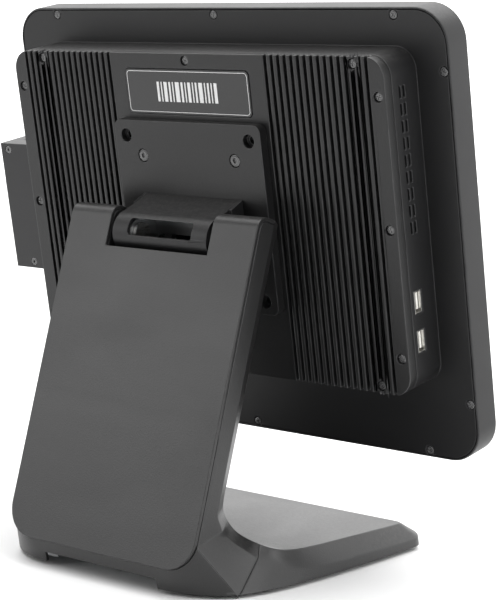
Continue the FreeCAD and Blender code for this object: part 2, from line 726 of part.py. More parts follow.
def underside_sockets():
    """Power inlet, video, serial, network and twin data sockets, all facing down."""
    rear = size.port_rear
    face = port_face + 0.8
    power = Piece("power_inlet")
    power.prism("Z", [circle(PORT_POWER, rear, 6.0)], face, face + 12.0)
    power.hollow("Z", [circle(PORT_POWER, rear, 4.8)], face, face + 10.0)
    power.prism("Z", [circle(PORT_POWER, rear, 1.2)], face + 1.0, face + 10.5)
    power.on_head()
    network = Piece("lan_socket")
    network.prism("Z", [rectangle(PORT_LAN - 8.0, PORT_LAN + 8.0, rear - 6.8, rear + 6.8)], face, face + 16.0)
    network.hollow("Z", [rectangle(PORT_LAN - 5.9, PORT_LAN + 5.9, rear - 5.2, rear + 3.2),
                         ], face, face + 13.0)
    network.on_head()
    twin = Piece("usb_stack")
    twin.prism("Z", [rectangle(PORT_USB - 7.2, PORT_USB + 7.2, rear - 7.4, rear + 7.4)], face, face + 16.0)
    twin.hollow("Z", [rectangle(PORT_USB - 6.3, PORT_USB + 6.3, rear + shift - 2.6, rear + shift + 2.6)
                      for shift in (-3.6, 3.6)], face, face + 14.0)
    twin.prism("Z", [rectangle(PORT_USB - 5.0, PORT_USB + 5.0, rear + shift - 1.9, rear + shift - 0.2)
                     for shift in (-3.6, 3.6)], face + 2.0, face + 14.5)
    twin.on_head()
    for label, across in (("serial_port", PORT_SERIAL), ("video_port", PORT_VIDEO)):
        port = Piece(label)
        port.prism("Z", [rectangle(across - 15.4, across + 15.4, rear - 6.1, rear + 6.1)], face + 1.2, face + 9.0)
        port.prism("Z", [rounded(as_size(across - 8.4), as_size(across + 8.4), rear - 4.2, rear + 4.2, 2.5)],
                   face - 3.5, face + 1.2)
        port.hollow("Z", [rounded(as_size(across - 7.8), as_size(across + 7.8), rear - 3.6, rear + 3.6, 2.0)],
                    face - 3.5, face + 2.5)
        pins = [circle(across + step, rear + lift, 0.5) for lift in (-1.4, 1.4) for step in (-5.2, -2.6, 0, 2.6, 5.2)]
        port.prism("Z", pins, face - 1.5, face + 3.0)
        port.on_head()


def power_button():
    """Round push button in the underside, its switch and its spring."""
    across = size.button_across
    rear = size.port_rear
    face = port_face - 0.8
    piece = Piece("power_button")
    piece.prism("Z", [circle(across, rear, size.button_radius)], face, face + 4.3)
    piece.prism("Z", [circle(across, rear, size.button_radius + 1.2)], face + 3.6, face + 5.0)
    piece.prism("Z", [circle(across, rear, 1.2)], face + 5.0, face + 8.0)
    piece.on_head()
    spring = Piece("button_spring")
    spring.prism("Z", [circle(across, rear, 2.6)], face + 5.0, face + 9.5)
    spring.hollow("Z", [circle(across, rear, 1.9)], face + 5.0, face + 9.5)
    spring.on_head()
    switch = Piece("button_switch")
    switch.prism("Z", [rectangle(across - 4.5, across + 4.5, rear - 4.5, rear + 4.5)], face + 9.5, face + 16.0)
    switch.prism("Y", [rectangle(across - 10.0, across + 10.0, face + 9.5, face + 24.0)], rear - 6.1, rear - 4.5)
    switch.on_head()


def status_lens():
    piece = Piece("status_lens")
    piece.prism("Z", [circle(140.0, front + 2.2, 1.2)], -low - 0.3, size.rim_wall - low)
    piece.on_head()


# --------------------------------------------------------------------------- card reader
reader_in = half + size.reader_gap
reader_out = reader_in + size.reader_wide
slot_out = reader_out - size.slot_from_edge
slot_in = slot_out - size.slot_wide
reader_front = -size.reader_deep
reader_step = -size.reader_back
READER_SCREWS = [(reader_out - 7.2, size.reader_top - 4.6), (reader_out - 17.5, 4.6 - size.reader_low)]


def reader_rect(a_low, a_high, shrink=0):
    return rectangle(a_low, a_high, shrink - size.reader_low, size.reader_top - shrink)


def card_reader():
    """Swipe reader: rear block, inner cheek with the head, outer cheek, and its fixings."""
    wall = size.reader_wall
    rear = Piece("reader_rear_housing")
    rear.prism("Y", [reader_rect(reader_in, reader_out)], reader_step, 0)
    rear.hollow("Y", [reader_rect(reader_in + wall, reader_out - wall, wall)], reader_step, -wall)
    rear.prism("Y", [reader_rect(slot_in - wall, slot_out + wall)], reader_step, reader_step + wall)
    rear.prism("Y", circles(READER_SCREWS, 3.2), reader_step, 0)
    rear.hollow("Y", circles(READER_SCREWS, 1.7), reader_step, 0)
    rear.hollow("Y", circles(READER_SCREWS, 2.9), -1.4, 0)
    rear.hollow("X", [circle(reader_step / 2, v, screw_hole) for v in FIXING_HEIGHTS], reader_in, reader_in + wall)
    rear.on_head()

    inner = Piece("reader_inner_cheek")
    inner.prism("Y", [reader_rect(reader_in, slot_in)], reader_front, reader_step - 0.1)
    inner.hollow("Y", [reader_rect(reader_in + wall, slot_in - wall, wall)], reader_front + wall, reader_step - 0.1)
    head_window = rectangle(-26.4, -17.6, -25.9, -8.1)
    inner.hollow("X", [head_window], slot_in - wall, slot_in)
    inner.prism("Y", [circle(READER_SCREWS[1][0], READER_SCREWS[1][1], 3.7)], -20.0, reader_step - 0.1)
    inner.hollow("Y", [circle(READER_SCREWS[1][0], READER_SCREWS[1][1], screw_hole)], -19.0, reader_step - 0.1)
    inner.on_head()

    outer = Piece("reader_outer_cheek")
    outer.prism("Y", [reader_rect(slot_out, reader_out)], reader_front, reader_step - 0.1)
    outer.hollow("Y", [reader_rect(slot_out + wall, reader_out - wall, wall)], reader_front + wall, reader_step - 0.1)
    outer.prism("Y", [circle(READER_SCREWS[0][0], READER_SCREWS[0][1], 3.2)], -20.0, reader_step - 0.1)
    outer.hollow("Y", [circle(READER_SCREWS[0][0], READER_SCREWS[0][1], screw_hole)], -19.0, reader_step - 0.1)
    outer.on_head()

    head = Piece("reader_head")
    head.prism("X", [rectangle(-26.0, -18.0, -25.5, -8.5)], slot_in - 6.5, slot_in + 0.5)
    head.prism("X", [rectangle(-27.5, -16.5, -27.0, -7.0)], slot_in - 6.5, slot_in - wall - 0.3)
    head.on_head()
    spring = Piece("reader_leaf_spring")
    spring.prism("X", [rectangle(-24.0, -20.0, -40.0, 4.0)], slot_in - 8.2, slot_in - 7.6)
    spring.prism("X", [rectangle(-24.0, -20.0, v - 4.0, v) for v in (-36.0, 4.0)],
                 slot_in - 7.6, slot_in - wall)
    spring.on_head()
    board = Piece("reader_board")
    board.prism("X", [rectangle(as_size(-29.0), as_size(-14.5), -50.0, 22.0)], reader_in + 4.0, reader_in + 5.6)
    board.on_head()
    screws("reader_screws", "Y", READER_SCREWS, as_size(-18.0), as_size(-1.4), as_size(-0.2),
           size.screw_radius, size.head_radius, 1.1, 0.8).on_head()
    bolts = Piece("reader_fixing_screws")
    places = [circle(reader_step / 2, v, size.screw_radius) for v in FIXING_HEIGHTS]
    heads = [circle(reader_step / 2, v, 2.4) for v in FIXING_HEIGHTS]
    bolts.prism("X", places, half - size.rim_wall, reader_in + wall)
    bolts.prism("X", heads, reader_in + wall, reader_in + wall + 1.6)
    bolts.on_head()


# --------------------------------------------------------------------------- arm and hinge
axle_rear = size.axis_rear
axle_up = -size.axis_drop


def mounting_plate():
    """Cast plate screwed to the heat sink, carrying the arm."""
    piece = Piece("mounting_plate")
    piece.prism("Y", [rounded(-size.plate_half, size.plate_half, -size.plate_low, size.plate_top,
                              size.plate_radius)], size.box_depth, plate_face)
    piece.hollow("Y", circles(PLATE_SCREWS + OUTER_BOLTS, size.bolt_radius + 0.25), size.box_depth, plate_face)
    piece.hollow("Y", circles(PLATE_SCREWS + OUTER_BOLTS, size.bolt_head + 0.4), plate_face - 4.2, plate_face)
    cable_hole = rounded(as_size(-18.0), as_size(18.0), as_size(-34.0), as_size(-22.0), 5.9)
    piece.hollow("Y", [cable_hole], size.box_depth, plate_face)
    piece.hollow("Y", circles(LEAF_SCREWS, 1.6), plate_face - 5.0, plate_face)
    piece.on_head()


LEAF_SCREWS = [(25.0, 1.0), (-25.0, 1.0), (25.0, -14.0), (-25.0, -14.0)]


def plate_screws():
    under = plate_face - 4.2
    screws("mounting_screws", "Y", PLATE_SCREWS, sink_seat + 0.5, under, under + 3.8,
           size.bolt_radius - 0.02, size.bolt_head, 1.6, 2.4).on_head()


def hinge_leaf():
    """Steel leaf: foot bolted to the plate and two knuckles that turn on the pins."""
    piece = Piece("hinge_leaf")
    foot = rectangle(-38.0, 38.0, axle_up - 14.0, axle_up + 12.0)
    piece.prism("Y", [foot], plate_face, plate_face + 3.5)
    webs = polygon((plate_face, axle_up - 9.0), (axle_rear, axle_up - 9.0),
                   (axle_rear, axle_up + 9.0), (plate_face, axle_up + 9.0))
    for inner, outer in ((size.knuckle_in, size.knuckle_out), (-size.knuckle_out, -size.knuckle_in)):
        piece.prism("X", [webs], inner + 2.0, outer - 2.0)
        piece.prism("X", [circle(axle_rear, axle_up, 9.0)], inner, outer)
    bore = [circle(axle_rear, axle_up, size.pin_radius + size.pin_slack)]
    piece.hollow("X", bore, size.knuckle_in, size.knuckle_out)
    piece.hollow("X", bore, -size.knuckle_out, -size.knuckle_in)
    piece.hollow("Y", circles(LEAF_SCREWS, 1.65), plate_face, plate_face + 3.5)
    cable_hole = rectangle(as_size(-18.0), as_size(18.0), axle_up - 14.0, axle_up - 5.0)
    piece.hollow("Y", [cable_hole], plate_face, plate_face + 3.5)
    piece.on_head()
    under = plate_face + 3.5
    screws("leaf_screws", "Y", LEAF_SCREWS, plate_face - 4.5, under, under + 2.0,
           as_size(1.55), as_size(2.7), 1.2, 1.2).on_head()


def arm_section(shrink):
    """Side outline of the arm in front of the barrel."""
    touch = size.barrel_radius - shrink
    return polygon((plate_face, axle_up + 19.8 - shrink), (axle_rear - 7.0, axle_up + 15.6 - shrink),
                   (axle_rear + 1.5, axle_up + touch - 0.1), (axle_rear + 1.5, axle_up - touch + 0.1),
                   (plate_face, axle_up - 17.0 + shrink))


def arm_root(shrink):
    """Side outline of the wider root of the arm, clear of the disc springs."""
    reach = axle_rear - 10.0 - shrink
    return polygon((plate_face, axle_up + 19.8 - shrink), (reach, axle_up + 16.3 - shrink),
                   (reach, axle_up - 14.8 + shrink), (plate_face, axle_up - 17.0 + shrink))


def arm_covers():
    """Plastic barrel and arm shroud, split level with the hinge axis."""
    wall = size.arm_wall
    for label, upper in (("arm_cover", True), ("arm_underside", False)):
        piece = Piece(label)
        piece.prism("X", [arm_section(as_size(0))], -size.barrel_half, size.barrel_half)
        piece.prism("X", [arm_root(as_size(0))], -size.arm_half, size.arm_half)
        piece.prism("X", [circle(axle_rear, axle_up, size.barrel_radius)], -size.barrel_half, size.barrel_half)
        piece.hollow("X", [arm_root(wall)], wall - size.arm_half, size.arm_half - wall)
        end = 0.4
        piece.hollow("X", [arm_section(wall)], end - size.barrel_half, size.barrel_half - end)
        piece.hollow("X", [circle(axle_rear, axle_up, size.barrel_radius - wall)],
                     end - size.barrel_half, size.barrel_half - end)
        piece.hollow("X", [circle(axle_rear, axle_up, 9.4)], -size.barrel_half, size.barrel_half)
        split = axle_up - 8.0
        far = 60.0
        if upper:
            cut = rectangle(as_size(0), axle_rear + far, split - far, split)
        else:
            cut = rectangle(as_size(0), axle_rear + far, split - 0.15, split + far)
        piece.hollow("X", [cut], -size.arm_half, size.arm_half)
        if upper:
            window = rounded(-size.window_half, size.window_half, axle_up + 2.0, axle_up + 11.4, 2.0)
            piece.hollow("Y", [window], axle_rear + 4.0, axle_rear + 20.0)
        piece.on_head()


def column_prism_point(down, deep):
    """Row-frame (Y, Z) of a point given down the rear panel and into the column."""
    lean = size.column_lean
    return (size.panel_top_y + down * sine(lean) - deep * cosine(lean),
            size.panel_top_z - down * cosine(lean) - deep * sine(lean))


def column_axis():
    """Tilt axis in the column's frame: (outwards, upwards) from the top seam."""
    lean = size.column_lean
    back = size.axis_y - size.panel_top_y
    rise = size.axis_z - size.panel_top_z
    return (back * cosine(lean) + rise * sine(lean), rise * cosine(lean) - back * sine(lean))


def fixed_hinge():
    """Yoke bolted to the spine, with pins, disc springs and nuts on each side."""
    out, up = column_axis()
    spine_front = -size.spine_deep
    yoke = Piece("hinge_yoke")
    yoke.prism("Y", [rectangle(-size.ear_inner - size.ear_thick, size.ear_inner + size.ear_thick,
                               as_size(-72.0), as_size(-38.0))], spine_front, spine_front + size.spine_thick)
    ear = polygon((spine_front, -72.0), (spine_front + 12.0, -72.0), (out + 8.0, up), (out - 8.0, up),
                  (spine_front, up - 12.0))
    for low_x, high_x in ((size.ear_inner, size.ear_inner + size.ear_thick),
                          (-size.ear_inner - size.ear_thick, -size.ear_inner)):
        yoke.prism("X", [ear], low_x, high_x)
        yoke.prism("X", [circle(out, up, 8.0)], low_x, high_x)
        yoke.hollow("X", [circle(out, up, size.pin_radius)], low_x, high_x)
    yoke.hollow("Y", circles(YOKE_SCREWS, 2.1), spine_front, spine_front + size.spine_thick)
    yoke.on_column()
    pins = Piece("hinge_pins")
    springs = Piece("disc_springs")
    nuts = Piece("hinge_nuts")
    pin = [circle(out, up, size.pin_radius)]
    disc = [circle(out, up, 7.6)]
    for sign in (1, -1):
        def span(piece, outline, near, far):
            low_x, high_x = (near, far) if sign > 0 else (-far, -near)
            piece.prism("X", outline, low_x, high_x)
        end = size.ear_inner + size.ear_thick + 6.0
        span(pins, pin, size.knuckle_in - 1.5, end)
        span(pins, [circle(out, up, 6.5)], size.knuckle_in - 3.0, size.knuckle_in - 0.3)
        for index in range(2):
            near = size.knuckle_out + 0.9 + 1.2 * index
            span(springs, disc, near, near + 1.0)
        nut = [polygon(*[(out + 6.9 * math.cos(math.radians(60 * k)), up + 6.9 * math.sin(math.radians(60 * k)))
                         for k in range(6)])]
        span(nuts, nut, size.ear_inner + size.ear_thick, size.ear_inner + size.ear_thick + 5.0)
    reach = size.ear_inner + size.ear_thick + 5.0
    springs.hollow("X", pin, -reach, reach)
    nuts.hollow("X", pin, -reach, reach)
    pins.on_column()
    springs.on_column()
    nuts.on_column()
    screws("yoke_screws", "Y", YOKE_SCREWS, spine_front - size.spine_thick - 1.0,
           spine_front + size.spine_thick, spine_front + size.spine_thick + 2.6,
           size.bolt_radius, size.bolt_head, 1.6, 1.6).on_column()


YOKE_SCREWS = [(30.0, -46.0), (-30.0, -46.0), (30.0, -64.0), (-30.0, -64.0)]


# --------------------------------------------------------------------------- stand
def stand_profile(tag, by, floor):
    """Side view of the stand, drawn inwards by a wall, with the rounded knee."""
    lean = size.column_lean
    bevel = size.bevel_rise / size.bevel_run
    slope = Size(math.hypot(1, bevel.value), f"sqrt(1 + {bevel.formula} * {bevel.formula})")
    knee_level = size.knee_z - by
    knee_y = (size.panel_top_y + (size.panel_top_z - knee_level) * tangent(lean)
              - (size.column_deep - by) / cosine(lean))
    crown = size.column_crown - by
    crown_rear = column_prism_point(-crown, by)
    crown_front = column_prism_point(-crown, size.column_deep - by)
    foot = column_prism_point(size.column_long, by)
    rise = size.front_rise + size.bevel_rise - by
    corners = [
        (size.front_y + by, floor),
        (size.front_y + by, size.front_rise - by * (slope - bevel)),
        (size.front_y + size.bevel_run + by * (slope - 1) / bevel, rise),
        (knee_y, knee_level),
        crown_front,
        crown_rear,
        foot,
        (size.rear_y - by, size.shell_low),
        (size.rear_y - by, floor),
    ]
    if tag == "outer":
        corners.pop()
    piece = Piece("profile_" + tag)
    reach = size.half_width + 20
    piece.prism("X", [polygon(*corners)], -reach, reach)
    level = knee_level.value
    place = knee_y.value
    piece.round_off(size.knee_radius + by, Vector(1, 0, 0),
                    lambda c: abs(c.z - level) < 0.5 and abs(c.y - place) < 0.5)
    rear = crown_rear
    piece.round_off(size.crown_radius - by * 2, Vector(1, 0, 0),
                    lambda c: abs(c.z - rear[1].value) < 0.5 and abs(c.y - rear[0].value) < 0.5)
    return piece.body


def stand_front_view(tag, by, floor):
    """Front view of the stand: the base flares out below the column."""
    wide = size.half_width - by
    narrow = size.column_half - by
    right = [(wide, floor), (wide, size.flare_low - by * 0.4), (narrow, size.flare_high - by * 0.4),
             (narrow, size.panel_top_z + 30)]
    left = [(-a, b) for a, b in reversed(right)]
    piece = Piece("front_view_" + tag)
    reach = size.half_width + 40
    piece.prism("Y", [polygon(*(right + left))], -reach, reach)
    return piece.body


def stand_plan(tag, by, floor):
    """Plan of the stand: round corners, drawn outwards going up."""
    piece = Piece("plan_" + tag)
    wide = size.half_width - by
    outline = rounded(-wide, wide, size.front_y + by, size.rear_y - by,
                      (size.rear_corner - by, size.front_corner - by))
    piece.prism("Z", [outline], floor, size.panel_top_z + 30, draft=size.foot_draft)
    return piece.body


def boolean(kind, label, *parts, keep=False):
    shape = doc.addObject(kind, "Solid_" + label)
    shape.Label = label
    if kind == "Part::Cut":
        shape.Base, shape.Tool = parts
    else:
        shape.Shapes = list(parts)
    if keep:
        exported.append(shape)
    return shape


def stand_volume(tag, by, floor):
    parts = [stand_profile(tag, by, floor), stand_front_view(tag, by, floor), stand_plan(tag, by, floor)]
    return boolean("Part::MultiCommon", "volume_" + tag, *parts)


def notch_block(label, grow):
    """Room for the hinge barrel in the crown of the column."""
    piece = Piece(label)
    wide = size.notch_half + grow
    piece.prism("X", [rectangle(-size.column_deep - 2, as_size(2), -size.well_deep - grow, as_size(20))],
                -wide, wide)
    return piece.on_column(keep=False).body


def bevel_prisms(label, by):
    """Wedges along the column's inner side edges, taken back by a wall."""
    piece = Piece(label)
    inner_x = size.column_half - size.side_bevel - by * 1.2
    deep = size.column_deep
    for sign in (1, -1):
        edge = size.column_half * sign
        piece.prism("Z", [polygon((edge, by * 1.2 - size.side_face), (edge * 1.1, by * 1.2 - size.side_face),
                                  (edge * 1.1, -deep - 1), (inner_x * sign, -deep - 1),
                                  (inner_x * sign, -deep))],
                    46 - size.column_long, as_size(20))
    return piece.on_column(keep=False).body


def panel_room(label, gap, top_gap):
    """Slab of the rear panel, grown by a gap, with its rounded bottom corners."""
    piece = Piece(label)
    wide = size.column_half + gap
    sheet = size.panel_sheet + gap
    crown = size.column_crown
    over = size.side_face + gap
    piece.prism("X", [polygon((-sheet, -size.column_long - gap), (top_gap, -size.column_long - gap),
                              (top_gap, crown + top_gap), (-over, crown + top_gap), (-over, crown - sheet),
                              (-sheet, crown - sheet))], -wide, wide)
    return piece


def rear_panel():
    """Removable rear panel: flat sheet rolled over the crown, notched for the hinge."""
    piece = panel_room("column_rear_panel", as_size(0), as_size(0))
    sheet = size.panel_sheet
    crown = size.column_crown
    across = Vector(1, 0, 0)
    piece.round_off(size.crown_radius, across, lambda c: abs(c.y) < 0.1 and abs(c.z - crown.value) < 0.1)
    piece.round_off(size.crown_radius - sheet, across,
                    lambda c: abs(c.y + sheet.value) < 0.1 and abs(c.z - crown.value + sheet.value) < 0.1)
    piece.round_off(size.panel_corner, Vector(0, 1, 0), lambda c: c.z < -100)
    piece.hollow("Y", [rectangle(-size.notch_half, size.notch_half, -size.notch_deep, as_size(20))],
                 as_size(-30), as_size(2))
    piece.on_column()


def stand_shells():
    """Column shell with the rear foot, and the base cover in front of the seam."""
    by = size.shell_wall
    outer = stand_volume("outer", as_size(0), size.shell_low)
    inner = stand_volume("inner", by, size.shell_low - 4)
    solid_walls = boolean("Part::MultiFuse", "solid_walls", notch_block("notch_walls", by),
                          bevel_prisms("bevel_walls", by))
    room = boolean("Part::Cut", "hollow_space", inner, solid_walls)
    hollowed = boolean("Part::Cut", "stand_hollow", outer, room)

    notch = notch_block("notch_space", as_size(0))
    cutter = panel_room("panel_space", size.seat_gap, as_size(20))
    sheet = size.panel_sheet + size.seat_gap
    crown = size.column_crown
    cutter.round_off(size.crown_radius - size.panel_sheet, Vector(1, 0, 0),
                     lambda c: abs(c.y + sheet.value) < 0.1 and abs(c.z - crown.value + sheet.value) < 0.1)
    cutter.round_off(size.panel_corner, Vector(0, 1, 0), lambda c: c.z < -100)
    panel = cutter.on_column(keep=False).body
    pin_way = Piece("pin_way")
    out, up = column_axis()
    pin_way.prism("X", [circle(out, up, size.pin_radius + 0.4)], -size.ear_inner, size.ear_inner)
    pin_way.on_column(keep=False)
    cable_way = Piece("cable_way")
    cable_way.prism("Z", [rounded(as_size(-24), as_size(24), as_size(-21), as_size(-7), 5.0)],
                    -size.well_deep - 10, -size.well_deep + 5)
    cable_way.on_column(keep=False)
    bevels = bevel_prisms("inner_bevels", as_size(0))
    arch = Piece("cable_arch")
    arch.prism("Y", [polygon((-size.arch_half, -1), (size.arch_half, -1),
                             (size.arch_half, size.arch_high - 3), (size.arch_half - 6, size.arch_high),
                             (6 - size.arch_half, size.arch_high), (-size.arch_half, size.arch_high - 3))],
               size.rear_y - 12, size.rear_y + 12)
    cuts = boolean("Part::MultiFuse", "shell_cuts", notch, panel, pin_way.body, cable_way.body,
                   bevels, arch.body)
    cut_shell = boolean("Part::Cut", "stand_cut", hollowed, cuts)

    behind = Piece("behind_seam")
    reach = size.half_width + 30
    seam = size.seam_y
    gap = size.seam_gap
    behind.prism("X", [polygon((seam + 14, -5), (reach * 2, -5), (reach * 2, size.panel_top_z + 40),
                               (seam - 150, size.panel_top_z + 40), (seam - 12, 36))], -reach, reach)
    ahead = Piece("ahead_of_seam")
    ahead.prism("X", [polygon((seam + 14 - gap, -5), (seam - 12 - gap, 36), (size.front_y - 10, 36),
                              (size.front_y - 10, -5))], -reach, reach)
    bosses = Piece("cover_bosses")
    bosses.prism("Z", circles(BASE_SCREWS, 4.0), ballast_top, size.knee_z + 10.0)
    cover = boolean("Part::MultiCommon", "base_cover_shell", cut_shell, ahead.body)
    inside = boolean("Part::MultiCommon", "boss_shapes", bosses.body, outer)
    pilot = Piece("boss_pilots")
    pilot.prism("Z", circles(BASE_SCREWS, screw_hole), ballast_top - 1, ballast_top + 6.0)
    joined = boolean("Part::MultiFuse", "base_cover_whole", cover, inside)
    boolean("Part::Cut", "base_cover", joined, pilot.body, keep=True)
    boolean("Part::MultiCommon", "column_shell", cut_shell, behind.body, keep=True)


BASE_SCREWS = [(94.0, -74.0), (-94.0, -74.0), (88.0, 30.0), (-88.0, 30.0), (0.0, -74.0)]
ballast_top = size.ballast_low + size.ballast_thick
SPINE_SCREWS = [(34.0, 34.0), (-34.0, 34.0), (34.0, 50.0), (-34.0, 50.0)]


def base_parts():
    """Ballast plate under the base, its screws and the rubber feet."""
    piece = Piece("ballast_plate")
    wide = size.half_width - size.shell_wall - 9.0
    front_edge = size.front_y + size.shell_wall + 6.0
    rear_edge = size.rear_y - size.shell_wall - 8.0
    right = [(wide - 8, front_edge), (wide, front_edge + 8), (wide, as_size(34.0)), (wide - 12, as_size(50.0)),
             (as_size(64.0), rear_edge), (size.arch_half + 2, rear_edge), (size.arch_half + 2, as_size(58.0))]
    left = [(-a, b) for a, b in reversed(right)]
    piece.prism("Z", [polygon(*(right + left))], size.ballast_low, ballast_top)
    piece.hollow("Z", circles(BASE_SCREWS, screw_hole), size.ballast_low, ballast_top)
    piece.hollow("Z", circles(BASE_SCREWS, 3.2), size.ballast_low, size.ballast_low + 2.0)
    piece.hollow("Z", circles(SPINE_SCREWS, size.bolt_radius + 0.1), size.ballast_low, ballast_top)
    piece.hollow("Z", circles(SPINE_SCREWS, 4.4), size.ballast_low, size.ballast_low + 2.2)
    piece.keep()
    feet = Piece("rubber_feet")
    pads = [rounded(as_size(a - 6), as_size(a + 6), as_size(b - 11), as_size(b + 11), 3.0)
            for a, b in ((97.0, -55.0), (-97.0, -55.0), (76.0, 56.0), (-76.0, 56.0))]
    feet.prism("Z", pads + [circle(0, 0, 11.0)], 0, size.ballast_low)
    feet.keep()
    fixings = Piece("base_screws")
    level = size.ballast_low
    fixings.prism("Z", circles(BASE_SCREWS, size.screw_radius), level + 2.0, level + 9.5)
    fixings.prism("Z", circles(BASE_SCREWS, 2.9), level + 0.2, level + 2.0)
    fixings.hollow("Z", circles(BASE_SCREWS, 1.1), level + 0.2, level + 1.2)
    fixings.keep()


def spine():
    """Bent steel strip from the ballast plate up to the hinge yoke."""
    piece = Piece("steel_spine")
    deep = size.spine_deep
    lean = size.column_lean
    upper_rear = column_prism_point(as_size(36.0), deep)
    upper_front = column_prism_point(as_size(36.0), deep + size.spine_thick)

    def down_to(level, depth):
        down = (size.panel_top_z - depth * sine(lean) - level) / cosine(lean)
        return column_prism_point(down, depth)

    bend_rear = down_to(ballast_top, deep)
    bend_front = down_to(ballast_top + size.spine_thick, deep + size.spine_thick)
    toe = as_size(26.0)
    outline = polygon(upper_rear, bend_rear, (toe, ballast_top), (toe, ballast_top + size.spine_thick),
                      bend_front, upper_front)
    piece.prism("X", [outline], -size.spine_half, size.spine_half)
    piece.hollow("Z", circles(SPINE_SCREWS, 1.95), ballast_top, ballast_top + size.spine_thick)
    body = piece.body
    holes = Piece("spine_holes")
    holes.prism("Y", circles(YOKE_SCREWS, size.bolt_radius), -deep - size.spine_thick - 5, -deep + 1)
    holes.on_column(keep=False)
    piece.body.Label = "spine_blank"
    boolean("Part::Cut", "steel_spine", body, holes.body, keep=True)
    fixings = Piece("spine_screws")
    level = size.ballast_low
    fixings.prism("Z", circles(SPINE_SCREWS, 1.9), level + 2.2, ballast_top + size.spine_thick + 1.0)
    fixings.prism("Z", circles(SPINE_SCREWS, 4.0), level + 0.2, level + 2.2)
    fixings.hollow("Z", circles(SPINE_SCREWS, 1.5), level + 0.2, level + 1.6)
    fixings.keep()


# --------------------------------------------------------------------------- build and write
def build():
    front_frame()
    touch_glass()
    glass_gasket()
    lcd_panel()
    panel_pan()
    rear_cover()
    heatsink_cover()
    label_plate()
    cover_screws()
    sink_screws()
    main_board()
    board_fixings()
    chips()
    speakers()
    side_sockets()
    port_plate()
    underside_sockets()
    power_button()
    status_lens()
    card_reader()
    mounting_plate()
    plate_screws()
    hinge_leaf()
    arm_covers()
    fixed_hinge()
    rear_panel()
    stand_shells()
    base_parts()
    spine()


def check_and_write():
    doc.recompute()
    for item in doc.Objects:
        if {"Invalid", "Error"} & set(item.State):
            raise RuntimeError(f"{item.Label} ({item.Name}) failed: {item.State}")
    os.makedirs("parts", exist_ok=True)
    for item in exported:
        shape = item.Shape
        if shape.isNull() or not shape.isValid() or not shape.Solids:
            raise RuntimeError(f"{item.Label} has no sound solid")
        shape.exportStep(f"parts/{item.Label}.step")
        print(f"{item.Label}: {len(shape.Solids)} solid(s), {shape.Volume / 1000:.2f} cm3")


build()
check_and_write()
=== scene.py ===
"""Looks of the counter-top touch terminal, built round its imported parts."""

import json
import logging
import math
from contextlib import contextmanager
from dataclasses import dataclass, field
from enum import Enum
from typing import Callable, Iterator

import bpy
from mathutils import Matrix, Vector

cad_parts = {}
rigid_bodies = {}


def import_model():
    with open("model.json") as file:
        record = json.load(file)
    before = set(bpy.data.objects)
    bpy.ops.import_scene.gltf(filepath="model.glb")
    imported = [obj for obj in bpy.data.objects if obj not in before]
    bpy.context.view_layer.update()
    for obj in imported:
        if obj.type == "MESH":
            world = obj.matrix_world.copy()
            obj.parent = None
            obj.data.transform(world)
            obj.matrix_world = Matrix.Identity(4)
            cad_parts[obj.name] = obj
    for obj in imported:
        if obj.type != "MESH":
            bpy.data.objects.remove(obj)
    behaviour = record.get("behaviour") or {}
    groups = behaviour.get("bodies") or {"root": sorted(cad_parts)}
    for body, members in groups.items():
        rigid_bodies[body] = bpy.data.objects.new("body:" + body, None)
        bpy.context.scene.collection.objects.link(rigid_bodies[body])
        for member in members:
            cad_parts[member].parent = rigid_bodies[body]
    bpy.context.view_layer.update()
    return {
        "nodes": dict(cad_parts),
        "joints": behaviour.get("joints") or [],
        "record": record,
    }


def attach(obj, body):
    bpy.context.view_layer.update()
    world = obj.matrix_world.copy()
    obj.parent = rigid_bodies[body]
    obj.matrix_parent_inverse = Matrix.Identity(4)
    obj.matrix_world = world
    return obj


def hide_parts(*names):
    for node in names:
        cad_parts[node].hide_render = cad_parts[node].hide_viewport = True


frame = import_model()

log = logging.getLogger("terminal")
MM = 0.001
SAME_PLACE = 0.002 * MM
FLAT_ENOUGH = math.radians(0.4)
DUST_COLOUR = (0.30, 0.29, 0.28)
Colour = tuple[float, float, float]
Piece = bpy.types.Object


# ------------------------------------------------------------------ hand tools
def clear_selection() -> None:
    """Leaves nothing selected."""
    for item in list(bpy.context.selected_objects):
        item.select_set(False)


def take(piece: Piece) -> None:
    """Selects one piece and makes it the active one.

    Args:
        piece: the object to work on.
    """
    clear_selection()
    piece.select_set(True)
    bpy.context.view_layer.objects.active = piece


@contextmanager
def editing(piece: Piece, mode: str = "FACE") -> Iterator[None]:
    """Edit mode on one piece, with the selection made before it kept.

    Args:
        piece: the object to edit.
        mode: what is selected, "VERT", "EDGE" or "FACE".
    """
    take(piece)
    bpy.ops.object.mode_set(mode="EDIT")
    bpy.ops.mesh.select_mode(type=mode)
    yield
    bpy.ops.object.mode_set(mode="OBJECT")


def mark_faces(piece: Piece, test: Callable[[Vector, Vector], bool]) -> int:
    """Selects the faces that pass a test on their centre and normal.

    Args:
        piece: the object, in object mode.
        test: takes a face's centre and normal.

    Returns:
        How many faces are selected.
    """
    mesh = piece.data
    mesh.vertices.foreach_set("select", [False] * len(mesh.vertices))
    mesh.edges.foreach_set("select", [False] * len(mesh.edges))
    chosen = 0
    for face in mesh.polygons:
        face.select = bool(test(face.center, face.normal))
        chosen += face.select
    return chosen


def modify(piece: Piece, kind: str, **settings: object) -> None:
    """Adds a modifier and applies it.

    Args:
        piece: the object to change.
        kind: the modifier's type name.
        **settings: its properties.
    """
    take(piece)
    modifier = piece.modifiers.new(kind.title(), kind)
    for name, value in settings.items():
        setattr(modifier, name, value)
    bpy.ops.object.modifier_apply(modifier=modifier.name)


